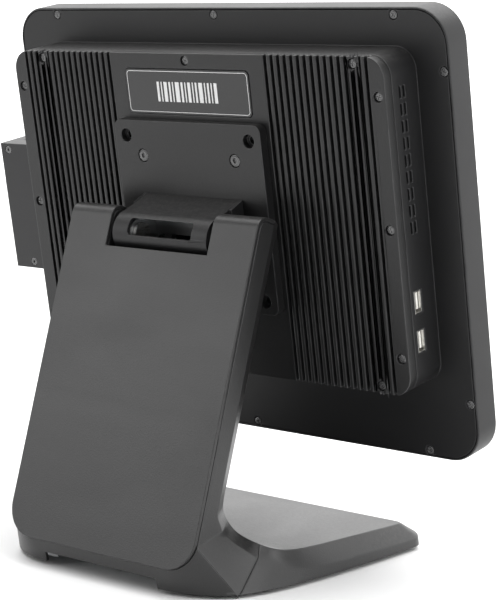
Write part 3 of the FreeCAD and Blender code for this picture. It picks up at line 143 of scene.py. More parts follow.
def settle(piece: Piece) -> None:
    """Puts a piece's place into its mesh, with its object at the origin.

    Args:
        piece: the object to settle.
    """
    take(piece)
    bpy.ops.object.transform_apply(location=True, rotation=True, scale=True)


def block(name: str, low: Vector, high: Vector) -> Piece:
    """A block between two corners.

    Args:
        name: the piece's name.
        low: its lowest corner.
        high: its highest corner.

    Returns:
        The new piece, settled.
    """
    clear_selection()
    middle = (Vector(low) + Vector(high)) / 2
    bpy.ops.mesh.primitive_cube_add(size=1.0, location=middle, scale=Vector(high) - Vector(low))
    piece = bpy.context.object
    piece.name = name
    settle(piece)
    return piece


def post(name: str, radius: float, low: float, high: float, sides: int = 32) -> Piece:
    """An upright cylinder on the Z axis.

    Args:
        name: the piece's name.
        radius: its radius.
        low: its lower end.
        high: its upper end.
        sides: number of sides.

    Returns:
        The new piece, settled.
    """
    clear_selection()
    bpy.ops.mesh.primitive_cylinder_add(vertices=sides, radius=radius, depth=high - low,
                                        location=(0, 0, (low + high) / 2))
    piece = bpy.context.object
    piece.name = name
    settle(piece)
    return piece


def carve(piece: Piece, cutter: Piece, solver: str = "EXACT") -> None:
    """Takes one piece's volume out of another, and throws the cutter away.

    Args:
        piece: what stays.
        cutter: what is taken out of it.
        solver: the Boolean modifier's way of working.
    """
    modify(piece, "BOOLEAN", object=cutter, operation="DIFFERENCE", solver=solver)
    bpy.data.objects.remove(cutter)


def join(name: str, parts: list[Piece]) -> Piece:
    """Joins parts into one piece.

    Args:
        name: the joined piece's name.
        parts: the parts, the first of which stays.

    Returns:
        The joined piece.
    """
    clear_selection()
    for part in parts:
        part.select_set(True)
    bpy.context.view_layer.objects.active = parts[0]
    bpy.ops.object.join()
    parts[0].name = name
    return parts[0]


def soften(piece: Piece, width: float, segments: int = 2, angle: float = 30.0) -> None:
    """Rounds every sharp edge and shades the rest smooth.

    Args:
        piece: the object to round.
        width: how far the rounding reaches, in metres.
        segments: faces across the rounding.
        angle: edges sharper than this, in degrees, are rounded.
    """
    modify(piece, "BEVEL", width=width, segments=segments, limit_method="ANGLE",
           angle_limit=math.radians(angle), use_clamp_overlap=False)
    take(piece)
    bpy.ops.object.shade_smooth_by_angle(angle=math.radians(angle))
    modify(piece, "WEIGHTED_NORMAL", weight=90, keep_sharp=True)


def worked_copy(node: str, width: float, segments: int = 2) -> Piece:
    """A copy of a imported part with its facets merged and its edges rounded.

    Args:
        node: the part's node.
        width: how far the rounding reaches, in metres.
        segments: faces across the rounding.

    Returns:
        The new piece, which stands for the node.
    """
    source = frame["nodes"][node]
    piece = bpy.data.objects.new(f"{node}_finished", source.data.copy())
    bpy.context.scene.collection.objects.link(piece)
    piece.data.materials.clear()
    mark_faces(piece, lambda centre, normal: True)
    with editing(piece):
        bpy.ops.mesh.select_all(action="SELECT")
        bpy.ops.mesh.customdata_custom_splitnormals_clear()
        bpy.ops.mesh.remove_doubles(threshold=SAME_PLACE)
        bpy.ops.mesh.dissolve_limited(angle_limit=FLAT_ENOUGH)
    if width:
        soften(piece, width, segments)
    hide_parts(node)
    return piece


@dataclass(frozen=True)
class Axes:
    """A set of axes in which a sub-assembly is upright."""

    origin: Vector
    across: Vector
    out: Vector
    up: Vector

    def matrix(self) -> Matrix:
        """The move from these axes to the shared frame."""
        turn = Matrix((self.across, self.out, self.up)).transposed()
        return Matrix.Translation(self.origin) @ turn.to_4x4()

    def local(self, point: Vector) -> Vector:
        """A point of the shared frame, seen in these axes."""
        step = point - self.origin
        return Vector((step.dot(self.across), step.dot(self.out), step.dot(self.up)))

    def extent(self, node: str) -> tuple[Vector, Vector]:
        """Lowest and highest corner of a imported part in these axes.

        Args:
            node: the part's node.

        Returns:
            The two corners.
        """
        points = [self.local(vertex.co) for vertex in frame["nodes"][node].data.vertices]
        return (Vector(min(p[i] for p in points) for i in range(3)),
                Vector(max(p[i] for p in points) for i in range(3)))

    def place(self, piece: Piece) -> None:
        """Moves a piece modelled in these axes to where it belongs.

        Args:
            piece: the piece, settled at the origin.
        """
        piece.data.transform(self.matrix())
        piece.data.update()


def joint(name: str) -> dict:
    """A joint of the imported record, by name."""
    return next(item for item in frame["joints"] if item["name"] == name)


def head_axes() -> Axes:
    """Axes of the display head: to the user's right, out of its back, and up its back."""
    up = Vector(joint("power_press")["axis"]).normalized()
    across = Vector((1.0, 0.0, 0.0))
    return Axes(Vector(joint("head_tilt")["pos_m"]), across, up.cross(across), up)


HEAD = head_axes()


# ------------------------------------------------------------------ shader groups
def socket(group: bpy.types.NodeTree, name: str, side: str, value: float | None = None) -> None:
    """Adds a float socket to a shader group.

    Args:
        group: the group's node tree.
        name: the socket's name.
        side: "INPUT" or "OUTPUT".
        value: the input's starting value.
    """
    made = group.interface.new_socket(name=name, in_out=side, socket_type="NodeSocketFloat")
    if value is not None:
        made.default_value = value


class Graph:
    """A node tree with short ways to add and link nodes."""

    def __init__(self, tree: bpy.types.NodeTree) -> None:
        """Wraps a tree.

        Args:
            tree: the node tree to add to.
        """
        self.tree = tree

    def add(self, kind: str, inputs: dict | None = None, **settings: object) -> bpy.types.Node:
        """Adds a node, sets it and feeds its inputs.

        Args:
            kind: the node's type without the ShaderNode prefix.
            inputs: values or output sockets for its inputs, by name or index.
            **settings: the node's own properties.

        Returns:
            The new node.
        """
        node = self.tree.nodes.new("ShaderNode" + kind)
        for name, value in settings.items():
            setattr(node, name, value)
        for name, value in (inputs or {}).items():
            if isinstance(value, bpy.types.NodeSocket):
                self.tree.links.new(value, node.inputs[name])
            else:
                node.inputs[name].default_value = value
        return node

    def maths(self, operation: str, first: object, second: object = 0.0) -> bpy.types.NodeSocket:
        """A Math node's output.

        Args:
            operation: what it does.
            first: its first number or socket.
            second: its second number or socket.

        Returns:
            The result's socket.
        """
        return self.add("Math", {0: first, 1: second}, operation=operation).outputs[0]

    def remap(self, value: object, low: float, high: float, to_low: float,
              to_high: float) -> bpy.types.NodeSocket:
        """A value spread from one range to another, and held inside it.

        Args:
            value: the value's socket or number.
            low: start of its range.
            high: end of its range.
            to_low: what the start becomes.
            to_high: what the end becomes.

        Returns:
            The result's socket.
        """
        node = self.add("MapRange", {"Value": value, "From Min": low, "From Max": high,
                                     "To Min": to_low, "To Max": to_high})
        return node.outputs[0]

    def blend(self, share: object, first: object, second: object) -> bpy.types.NodeSocket:
        """Two colours mixed by a share.

        Args:
            share: how much of the second, 0 to 1.
            first: the first colour.
            second: the second colour.

        Returns:
            The mixed colour's socket.
        """
        node = self.add("Mix", data_type="RGBA")
        for index, value in ((0, share), (6, first), (7, second)):
            if isinstance(value, bpy.types.NodeSocket):
                self.tree.links.new(value, node.inputs[index])
            else:
                node.inputs[index].default_value = value if index == 0 else (*value[:3], 1.0)
        return node.outputs[2]


def start_group(name: str, inputs: dict[str, float], outputs: list[str]) -> tuple[Graph, dict, dict]:
    """A new shader group with float sockets.

    Args:
        name: the group's name.
        inputs: input names and starting values.
        outputs: output names.

    Returns:
        The group's graph, its input sockets and its output sockets, by name.
    """
    tree = bpy.data.node_groups.new(name, "ShaderNodeTree")
    for label, value in inputs.items():
        socket(tree, label, "INPUT", value)
    for label in outputs:
        socket(tree, label, "OUTPUT")
    entry = tree.nodes.new("NodeGroupInput")
    leave = tree.nodes.new("NodeGroupOutput")
    return (Graph(tree), {label: entry.outputs[label] for label in inputs},
            {label: leave.inputs[label] for label in outputs})


def grain_group() -> bpy.types.NodeTree:
    """Fine moulded texture: cells with a soft ripple, as height and as a mask."""
    graph, given, out = start_group("moulded_grain", {"Scale": 1500.0, "Waviness": 0.3}, ["Height", "Mask"])
    place = graph.add("TexCoord").outputs["Object"]
    cells = graph.add("TexVoronoi", {"Vector": place, "Scale": given["Scale"]}, feature="SMOOTH_F1")
    fine = graph.add("TexNoise", {"Vector": place, "Scale": given["Scale"], "Detail": 3.0, "Roughness": 0.6})
    wave = graph.add("TexNoise", {"Vector": place, "Scale": 14.0, "Detail": 2.0})
    mixed = graph.maths("ADD", graph.maths("MULTIPLY", cells.outputs["Distance"], 0.6), fine.outputs["Fac"])
    raised = graph.maths("ADD", mixed, graph.maths("MULTIPLY", wave.outputs["Fac"], given["Waviness"]))
    graph.tree.links.new(raised, out["Height"])
    graph.tree.links.new(graph.remap(fine.outputs["Fac"], 0.35, 0.65, 0.0, 1.0), out["Mask"])
    return graph.tree


def edge_wear_and_highlight_group() -> bpy.types.NodeTree:
    """Edge mask, found by comparing the surface with a rounded one and broken up by noise: edge wear on most
    finishes, and on screws a painted highlight.
    """
    graph, given, out = start_group("edge_wear_and_highlight", {"Reach": 0.0008, "Breakup": 90.0}, ["Edge"])
    rounded = graph.add("Bevel", {"Radius": given["Reach"]}, samples=4).outputs[0]
    flat = graph.add("NewGeometry").outputs["Normal"]
    agree = graph.add("VectorMath", {0: rounded, 1: flat}, operation="DOT_PRODUCT").outputs["Value"]
    place = graph.add("TexCoord").outputs["Object"]
    noise = graph.add("TexNoise", {"Vector": place, "Scale": given["Breakup"], "Detail": 5.0,
                                   "Roughness": 0.65})
    patchy = graph.remap(noise.outputs["Fac"], 0.35, 0.7, 0.2, 1.0)
    edge = graph.remap(agree, 0.995, 0.90, 0.0, 1.0)
    graph.tree.links.new(graph.maths("MULTIPLY", edge, patchy), out["Edge"])
    return graph.tree


def handling_group() -> bpy.types.NodeTree:
    """Broad mottling and wiped smears that vary a surface's shine, and dust that settles on tops."""
    graph, given, out = start_group("handling", {"Smear": 9.0, "Dust": 0.3}, ["Shine", "Tone", "Dust"])
    place = graph.add("TexCoord").outputs["Object"]
    stretched = graph.add("Mapping", {"Vector": place, "Rotation": (0.3, 0.5, 0.7), "Scale": (1.0, 1.0, 3.2)})
    smear = graph.add("TexNoise", {"Vector": stretched.outputs[0], "Scale": given["Smear"], "Detail": 4.0,
                                   "Roughness": 0.55, "Distortion": 0.6})
    broad = graph.add("TexNoise", {"Vector": place, "Scale": 5.0, "Detail": 2.0})
    specks = graph.add("TexNoise", {"Vector": place, "Scale": 420.0, "Detail": 3.0, "Roughness": 0.7})
    facing = graph.add("SeparateXYZ", {0: graph.add("NewGeometry").outputs["Normal"]}).outputs["Z"]
    settled = graph.maths("MULTIPLY", graph.remap(facing, 0.35, 1.0, 0.0, 1.0), given["Dust"])
    dusty = graph.maths("MULTIPLY", settled, graph.remap(specks.outputs["Fac"], 0.42, 0.68, 0.15, 1.0))
    graph.tree.links.new(graph.remap(smear.outputs["Fac"], 0.3, 0.7, -1.0, 1.0), out["Shine"])
    graph.tree.links.new(graph.remap(broad.outputs["Fac"], 0.3, 0.7, -1.0, 1.0), out["Tone"])
    graph.tree.links.new(dusty, out["Dust"])
    return graph.tree


def brush_group() -> bpy.types.NodeTree:
    """Drawn lines of rolled or milled metal, as height and as a mask."""
    graph, given, out = start_group("drawn_lines", {"Scale": 260.0, "Stretch": 24.0}, ["Height", "Mask"])
    place = graph.add("TexCoord").outputs["Object"]
    sizes = graph.add("CombineXYZ", {0: 1.0, 1: 1.0, 2: given["Stretch"]}).outputs[0]
    spread = graph.add("VectorMath", {0: place, 1: sizes}, operation="MULTIPLY").outputs[0]
    lines = graph.add("TexNoise", {"Vector": spread, "Scale": given["Scale"], "Detail": 3.0,
                                   "Roughness": 0.55})
    graph.tree.links.new(lines.outputs["Fac"], out["Height"])
    graph.tree.links.new(graph.remap(lines.outputs["Fac"], 0.3, 0.7, 0.0, 1.0), out["Mask"])
    return graph.tree


GROUPS = {tree.name: tree for tree in (grain_group(), edge_wear_and_highlight_group(), handling_group(), brush_group())}


# ------------------------------------------------------------------ finishes
class Finish:
    """Base of every finish: starts a material and its graph."""

    name: str

    def start(self) -> tuple[bpy.types.Material, Graph, bpy.types.Node]:
        """A new material with a Principled shader.

        Returns:
            The material, its graph and the shader node.
        """
        material = bpy.data.materials.new(self.name)
        material.use_nodes = True
        graph = Graph(material.node_tree)
        return material, graph, material.node_tree.nodes["Principled BSDF"]

    @staticmethod
    def group(graph: Graph, name: str, **values: float) -> bpy.types.Node:
        """Places a shared shader group in a material.

        Args:
            graph: the material's graph.
            name: the group's name.
            **values: its input values, by name.

        Returns:
            The group's node.
        """
        node = graph.add("Group", node_tree=GROUPS[name])
        for label, value in values.items():
            node.inputs[label].default_value = value
        return node

    @staticmethod
    def relief(graph: Graph, shader: bpy.types.Node, height: bpy.types.NodeSocket, depth: float) -> None:
        """Feeds a height through a Bump node to the shader's normal.

        Args:
            graph: the material's graph.
            shader: the Principled shader.
            height: the height's socket.
            depth: how deep the relief is, in metres.
        """
        bump = graph.add("Bump", {"Height": height, "Distance": depth, "Strength": 1.0})
        graph.tree.links.new(bump.outputs[0], shader.inputs["Normal"])

    def build(self) -> bpy.types.Material:
        """Makes the material."""
        raise NotImplementedError


@dataclass(frozen=True)
class Moulded(Finish):
    """Moulded or painted surface with a fine texture, wiped shine, worn edges (on screws also a painted
    highlight) and a little dust.
    """

    name: str
    colour: Colour
    roughness: float
    grain: float = 1500.0
    depth: float = 0.02 * MM
    shine_swing: float = 0.03
    tone_swing: float = 0.05
    # Edge share and edge colour: edge wear, which on screws is also a painted highlight on rims and recess
    # edges.
    edge: float = 0.35
    edge_wear_and_highlight_colour: Colour = (0.16, 0.16, 0.165)
    dust: float = 0.10
    specular: float = 0.5

    def build(self) -> bpy.types.Material:
        """Makes the material."""
        material, graph, shader = self.start()
        grain = self.group(graph, "moulded_grain", Scale=self.grain)
        worn_and_highlit_edges = self.group(graph, "edge_wear_and_highlight")
        touch = self.group(graph, "handling", Dust=self.dust)
        pale = tuple(c * (1 + 2 * self.tone_swing) + 0.004 for c in self.colour)
        deep = tuple(c * (1 - self.tone_swing) for c in self.colour)
        share = graph.maths("ADD", graph.maths("MULTIPLY", touch.outputs["Tone"], 0.35),
                            graph.maths("MULTIPLY", grain.outputs["Mask"], 0.5))
        base = graph.blend(graph.add("Clamp", {"Value": share}).outputs[0], deep, pale)
        # Edge colour mixed in along edges: wear, and on screws a painted highlight.
        worn_and_highlit = graph.blend(graph.maths("MULTIPLY", worn_and_highlit_edges.outputs["Edge"], self.edge), base, self.edge_wear_and_highlight_colour)
        dusted = graph.blend(touch.outputs["Dust"], worn_and_highlit, DUST_COLOUR)
        graph.tree.links.new(dusted, shader.inputs["Base Color"])
        wiped = graph.maths("MULTIPLY", touch.outputs["Shine"], self.shine_swing)
        varied = graph.maths("ADD", self.roughness, wiped)
        graph.tree.links.new(varied, shader.inputs["Roughness"])
        shader.inputs["Specular IOR Level"].default_value = self.specular
        self.relief(graph, shader, grain.outputs["Height"], self.depth)
        return material


@dataclass(frozen=True)
class Metal(Finish):
    """Bare or plated metal with drawn lines and a little tarnish."""

    name: str
    colour: Colour
    roughness: float
    lines: float = 260.0
    depth: float = 0.006 * MM
    tarnish: Colour = (0.25, 0.24, 0.22)
    tarnish_share: float = 0.15

    def build(self) -> bpy.types.Material:
        """Makes the material."""
        material, graph, shader = self.start()
        brush = self.group(graph, "drawn_lines", Scale=self.lines)
        touch = self.group(graph, "handling", Smear=22.0, Dust=0.0)
        dull = graph.remap(touch.outputs["Tone"], -0.2, 1.0, 0.0, self.tarnish_share)
        graph.tree.links.new(graph.blend(dull, self.colour, self.tarnish), shader.inputs["Base Color"])
        varied = graph.maths("ADD", self.roughness, graph.maths("MULTIPLY", brush.outputs["Mask"], 0.12))
        graph.tree.links.new(varied, shader.inputs["Roughness"])
        shader.inputs["Metallic"].default_value = 1.0
        self.relief(graph, shader, brush.outputs["Height"], self.depth)
        return material


@dataclass(frozen=True)
class ScreenGlass(Finish):
    """Black-backed touch glass: a printed border round a slightly greyer picture area, with faint smears."""

    name: str
    half_wide: float
    low: float
    high: float
    tilt: float

    def build(self) -> bpy.types.Material:
        """Makes the material."""
        material, graph, shader = self.start()
        touch = self.group(graph, "handling", Smear=14.0, Dust=0.02)
        place = graph.add("TexCoord").outputs["Object"]
        turned = graph.add("Mapping", {"Vector": place, "Rotation": (self.tilt, 0.0, 0.0)}).outputs[0]
        parts = graph.add("SeparateXYZ", {0: turned})
        beside = graph.maths("LESS_THAN", graph.maths("ABSOLUTE", parts.outputs["X"]), self.half_wide)
        above = graph.maths("GREATER_THAN", parts.outputs["Z"], self.low)
        below = graph.maths("LESS_THAN", parts.outputs["Z"], self.high)
        shown = graph.maths("MULTIPLY", beside, graph.maths("MULTIPLY", above, below))
        border, picture = (0.004, 0.004, 0.005), (0.013, 0.014, 0.017)
        graph.tree.links.new(graph.blend(shown, border, picture), shader.inputs["Base Color"])
        varied = graph.maths("ADD", 0.07, graph.maths("MULTIPLY", touch.outputs["Shine"], 0.025))
        graph.tree.links.new(varied, shader.inputs["Roughness"])
        shader.inputs["IOR"].default_value = 1.52
        return material


@dataclass(frozen=True)
class Circuit(Finish):
    """Solder mask over copper tracks, with pale printed marks."""

    name: str
    colour: Colour = (0.012, 0.09, 0.035)

    def build(self) -> bpy.types.Material:
        """Makes the material."""
        material, graph, shader = self.start()
        place = graph.add("TexCoord").outputs["Object"]
        tracks = graph.add("TexBrick", {"Vector": place, "Scale": 120.0, "Mortar Size": 0.012,
                                        "Brick Width": 0.9, "Row Height": 0.16})
        pads = graph.add("TexVoronoi", {"Vector": place, "Scale": 340.0}, distance="CHEBYCHEV")
        pad = graph.maths("LESS_THAN", pads.outputs["Distance"], 0.14)
        bright = tuple(min(1.0, c * 2.2) for c in self.colour)
        masked = graph.blend(tracks.outputs["Fac"], self.colour, bright)
        graph.tree.links.new(graph.blend(pad, masked, (0.62, 0.55, 0.35)), shader.inputs["Base Color"])
        graph.tree.links.new(graph.remap(pad, 0.0, 1.0, 0.38, 0.22), shader.inputs["Roughness"])
        self.relief(graph, shader, tracks.outputs["Fac"], 0.03 * MM)
        return material


@dataclass(frozen=True)
class Studio:
    """Plain floor, soft light and the camera."""

    floor_half: float = 2.2
    eye: Vector = field(default_factory=lambda: Vector((-0.8053, 0.9194, 0.3360)))
    turn: tuple[float, float, float] = (math.radians(81.77), 0.0, math.radians(219.82))
    lens: float = 118.3

    def build(self) -> None:
        """Makes the floor, world, lamps and camera."""
        clear_selection()
        bpy.ops.mesh.primitive_plane_add(size=2 * self.floor_half)
        floor = bpy.context.object
        floor.name = "studio_floor"
        material = bpy.data.materials.new("studio_floor")
        material.use_nodes = True
        shader = material.node_tree.nodes["Principled BSDF"]
        shader.inputs["Base Color"].default_value = (0.86, 0.86, 0.86, 1.0)
        shader.inputs["Roughness"].default_value = 0.75
        floor.data.materials.append(material)

        self.surroundings()
        self.lamp("overhead", (0.3, -0.4, 3.2), 5.0, 150.0)
        self.lamp("rear_right", (1.7, 1.9, 1.0), 1.3, 16.0)
        self.lamp("left", (-2.4, 0.3, 0.7), 1.4, 16.0)

        camera = bpy.data.objects.new("camera", bpy.data.cameras.new("camera"))
        bpy.context.scene.collection.objects.link(camera)
        camera.location = self.eye
        camera.rotation_euler = self.turn
        camera.data.lens = self.lens
        camera.data.sensor_width = 36.0
        camera.data.clip_end = 60.0
        bpy.context.scene.camera = camera
        bpy.context.scene.view_settings.view_transform = "Standard"

    @staticmethod
    def surroundings() -> None:
        """A white room, bright on the side that the screen faces and dim behind the stand."""
        world = bpy.data.worlds.new("studio")
        bpy.context.scene.world = world
        world.use_nodes = True
        graph = Graph(world.node_tree)
        sky = world.node_tree.nodes["Background"]
        sky.inputs["Color"].default_value = (1.0, 1.0, 1.0, 1.0)
        way = graph.add("SeparateXYZ", {0: graph.add("TexCoord").outputs["Generated"]}).outputs["Y"]
        room = graph.remap(way, -0.7, 0.7, 1.9, 0.22)
        seen = graph.add("LightPath").outputs["Is Camera Ray"]
        graph.tree.links.new(graph.maths("MAXIMUM", room, seen), sky.inputs["Strength"])

    @staticmethod
    def lamp(name: str, place: tuple[float, float, float], size: float, watts: float) -> None:
        """A square soft light aimed at the middle of the terminal.

        Args:
            name: the lamp's name.
            place: where it hangs.
            size: its side, in metres.
            watts: its power.
        """
        light = bpy.data.lights.new(name, "AREA")
        light.size = size
        light.energy = watts
        lamp = bpy.data.objects.new(name, light)
        bpy.context.scene.collection.objects.link(lamp)
        lamp.location = place
        lamp.rotation_euler = (Vector((0, 0, 0.15)) - Vector(place)).to_track_quat("-Z", "Y").to_euler()


class Shop:
    """Every finish of the terminal, made once and handed out by the slot it belongs to."""

    def __init__(self) -> None:
        """Makes the finishes."""
        finishes = (
            Moulded("housing", (0.010, 0.010, 0.0105), 0.42, specular=0.32),
            Moulded("stand_shell", (0.012, 0.012, 0.0122), 0.37, grain=1100.0, depth=0.07 * MM, specular=0.5),
            Moulded("reader_shell", (0.010, 0.010, 0.011), 0.40, specular=0.35),
            Moulded("black_aluminium", (0.008, 0.008, 0.0083), 0.38, specular=0.38, grain=1000.0,
                    depth=0.07 * MM, edge=0.5),
            Metal("bare_aluminium", (0.80, 0.80, 0.82), 0.28),
            ScreenGlass("touch_glass", 0.152, 0.086, 0.319, -0.1658),
            Moulded("panel", (0.012, 0.012, 0.014), 0.2, depth=0.004 * MM),
            Moulded("foam", (0.02, 0.02, 0.02), 0.9, grain=2600.0, depth=0.12 * MM),
            Metal("zinc_steel", (0.58, 0.59, 0.60), 0.36, tarnish_share=0.3),
            Metal("bright_steel", (0.74, 0.73, 0.71), 0.24),
            # black_screw: its pale grey edge colour, strong on head rims and recess edges, is a painted
            # highlight as well as edge wear.
            Moulded("black_screw", (0.03, 0.03, 0.031), 0.24, depth=0.004 * MM, edge=0.8,
                    edge_wear_and_highlight_colour=(0.35, 0.35, 0.35), specular=0.8),
            Moulded("label", (0.006, 0.006, 0.0065), 0.16, grain=900.0, depth=0.002 * MM, edge=0.0, dust=0.02),
            Circuit("circuit_board"),
            Moulded("chip", (0.02, 0.02, 0.021), 0.5, grain=3000.0),
            Metal("coin_cell", (0.70, 0.70, 0.70), 0.2),
            Moulded("socket_tongue", (0.78, 0.77, 0.72), 0.45, tone_swing=0.04, edge=0.0, dust=0.0),
            Moulded("lens", (0.35, 0.55, 0.62), 0.2, tone_swing=0.05, edge=0.0, dust=0.0),
            Moulded("rubber", (0.022, 0.022, 0.022), 0.8, grain=1800.0, depth=0.05 * MM, edge=0.1),
            Moulded("ink", (0.70, 0.70, 0.70), 0.42, grain=2600.0, depth=0.004 * MM, tone_swing=0.03,
                    edge=0.0, dust=0.0),
        )
        self.materials = {finish.name: finish.build() for finish in finishes}

    def dress(self, piece: Piece, finish: str) -> None:
        """Gives a piece its finish.

        Args:
            piece: the piece.
            finish: the finish's name.
        """
        piece.data.materials.clear()
        piece.data.materials.append(self.materials[finish])

    def dress_packed(self) -> None:
        """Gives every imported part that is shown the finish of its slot."""
        slots = {part["node"]: part["material_slot"] for part in frame["record"]["subparts"]}
        for node, piece in frame["nodes"].items():
            piece.data.materials.clear()
            piece.data.materials.append(self.materials[slots[node]])

    def slot_of(self, node: str) -> str:
        """The record's slot of a node."""
        return next(part["material_slot"] for part in frame["record"]["subparts"] if part["node"] == node)


# ------------------------------------------------------------------ fasteners
class Recess(Enum):
    """Drive recess of a screw head."""

    CROSS = "cross"
    HEX = "hex"


@dataclass
class ScrewSet:
    """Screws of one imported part, each with a domed head and a drive recess."""

    node: str
    outward: Vector
    body: str
    head_height: float
    recess: Recess = Recess.CROSS
    finish: str = "black_screw"

    def stations(self) -> list[tuple[Vector, float, float]]:
        """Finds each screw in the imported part.

        Returns:
            The middle of the head's top, the head's radius and the screw's length, for each screw.
        """
        source = frame["nodes"][self.node]
        copy = bpy.data.objects.new("screw_probe", source.data.copy())
        bpy.context.scene.collection.objects.link(copy)
        with editing(copy):
            bpy.ops.mesh.select_all(action="SELECT")
            bpy.ops.mesh.remove_doubles(threshold=SAME_PLACE)
        before = set(bpy.data.objects)
        with editing(copy):
            bpy.ops.mesh.separate(type="LOOSE")
        found = []
        side = self.outward.orthogonal().normalized()
        other = self.outward.cross(side)
        for part in [copy] + [item for item in bpy.data.objects if item not in before]:
            points = [vertex.co for vertex in part.data.vertices]
            spans = [(min(p.dot(d) for p in points), max(p.dot(d) for p in points))
                     for d in (side, other, self.outward)]
            top = sum(((low + high) / 2 * d for (low, high), d in zip(spans[:2], (side, other))), Vector())
            top = top + self.outward * spans[2][1]
            found.append((top, (spans[0][1] - spans[0][0]) / 2, spans[2][1] - spans[2][0]))
            bpy.data.objects.remove(part)
        return found

    def model(self, radius: float, length: float) -> Piece:
        """One screw, pointing down, with the middle of its head's top at the origin.

        Args:
            radius: the head's radius.
            length: the whole screw's length.

        Returns:
            The screw.
        """
        screw = post("screw", radius, -self.head_height, 0.0, 24)
        mark_faces(screw, lambda centre, normal: normal.z > 0.9)
        with editing(screw):
            bpy.ops.mesh.bevel(offset=0.3 * self.head_height, segments=2, affect="EDGES")
        mark_faces(screw, lambda centre, normal: normal.z < -0.9)
        with editing(screw):
            bpy.ops.mesh.inset(thickness=radius * 0.45)
            bpy.ops.mesh.extrude_region_move(
                TRANSFORM_OT_translate={"value": (0, 0, self.head_height - length)})
        if self.recess is Recess.HEX:
            carve(screw, post("socket", radius * 0.52, -0.62 * self.head_height, 0.001, 6))
        else:
            for long_x in (True, False):
                reach = (radius * 0.62, radius * 0.13) if long_x else (radius * 0.13, radius * 0.62)
                carve(screw, block("driver_slot", Vector((-reach[0], -reach[1], -0.6 * self.head_height)),
                                   Vector((reach[0], reach[1], 0.001))))
        take(screw)
        bpy.ops.object.shade_smooth_by_angle(angle=math.radians(30))
        return screw

    def build(self, shop: Shop) -> Piece:
        """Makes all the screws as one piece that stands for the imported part.

        Args:
            shop: the finishes.

        Returns:
            The piece.
        """
        screws = []
        turn = Vector((0, 0, 1)).rotation_difference(self.outward).to_matrix().to_4x4()
        for index, (top, radius, length) in enumerate(self.stations()):
            screw = self.model(radius, length)
            clocked = Matrix.Rotation(math.radians(37.0 * index + 12.0), 4, "Z")
            screw.data.transform(Matrix.Translation(top) @ turn @ clocked)
            screws.append(screw)
        piece = join(f"{self.node}_driven", screws)
        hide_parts(self.node)
        shop.dress(piece, self.finish)
        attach(piece, self.body)
        log.info("%s: %d screws", piece.name, len(screws))
        return piece


# ------------------------------------------------------------------ sub-assemblies
@dataclass
class FinishedParts:
    """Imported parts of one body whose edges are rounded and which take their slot's finish."""

    body: str
    widths: dict[str, float]

    def build(self, shop: Shop) -> None:
        """Makes a rounded copy of every part.

        Args:
            shop: the finishes.
        """
        for node, width in self.widths.items():
            piece = worked_copy(node, width * MM)
            shop.dress(piece, shop.slot_of(node))
            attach(piece, self.body)
            log.info("%s: %d faces", piece.name, len(piece.data.polygons))


@dataclass
class NamePlate:
    """Gloss plate in the cooling cover's recess, with a pale border and a plain row of bars."""

    margin: float = 1.1 * MM
    line: float = 0.35 * MM
    ink: float = 0.06 * MM
    bars: tuple[float, ...] = (2.4, 0.9, 1.4, 0.9, 3.0, 1.4, 0.9, 2.2, 0.9, 1.6, 3.2, 0.9, 1.4, 2.6, 0.9, 1.8)
    gap: float = 1.5
    bar_half: float = 6.2 * MM

    def build(self, shop: Shop) -> None:
        """Makes the border and the bars.

        Args:
            shop: the finishes.
        """
        low, high = HEAD.extent("label_plate")
        clear_selection()
        middle = (low + high) / 2
        bpy.ops.mesh.primitive_plane_add(size=1.0, location=(middle.x, high.y, middle.z),
                                         rotation=(-math.pi / 2, 0, 0))
        border = bpy.context.object
        border.scale = (high.x - low.x - 2 * self.margin, high.z - low.z - 2 * self.margin, 1.0)
        settle(border)
        mark_faces(border, lambda centre, normal: True)
        with editing(border, "VERT"):
            bpy.ops.mesh.select_all(action="SELECT")
            bpy.ops.mesh.bevel(offset=2.4 * MM, segments=5, affect="VERTICES")
        mark_faces(border, lambda centre, normal: True)
        with editing(border):
            bpy.ops.mesh.select_all(action="SELECT")
            bpy.ops.mesh.inset(thickness=self.line)
            bpy.ops.mesh.delete(type="FACE")
            bpy.ops.mesh.select_all(action="SELECT")
            bpy.ops.mesh.extrude_region_move(TRANSFORM_OT_translate={"value": (0, self.ink, 0)})
            bpy.ops.mesh.select_all(action="SELECT")
            bpy.ops.mesh.normals_make_consistent(inside=False)
        parts = [border]
        total = sum(self.bars) + self.gap * (len(self.bars) - 1)
        edge = middle.x - total * MM / 2
        for width in self.bars:
            parts.append(block("bar", Vector((edge, high.y, middle.z - self.bar_half)),
                               Vector((edge + width * MM, high.y + self.ink, middle.z + self.bar_half))))
            edge += (width + self.gap) * MM
        piece = join("plate_print", parts)
        HEAD.place(piece)
        shop.dress(piece, "ink")
        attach(piece, "head")
        log.info("%s: %d faces", piece.name, len(piece.data.polygons))


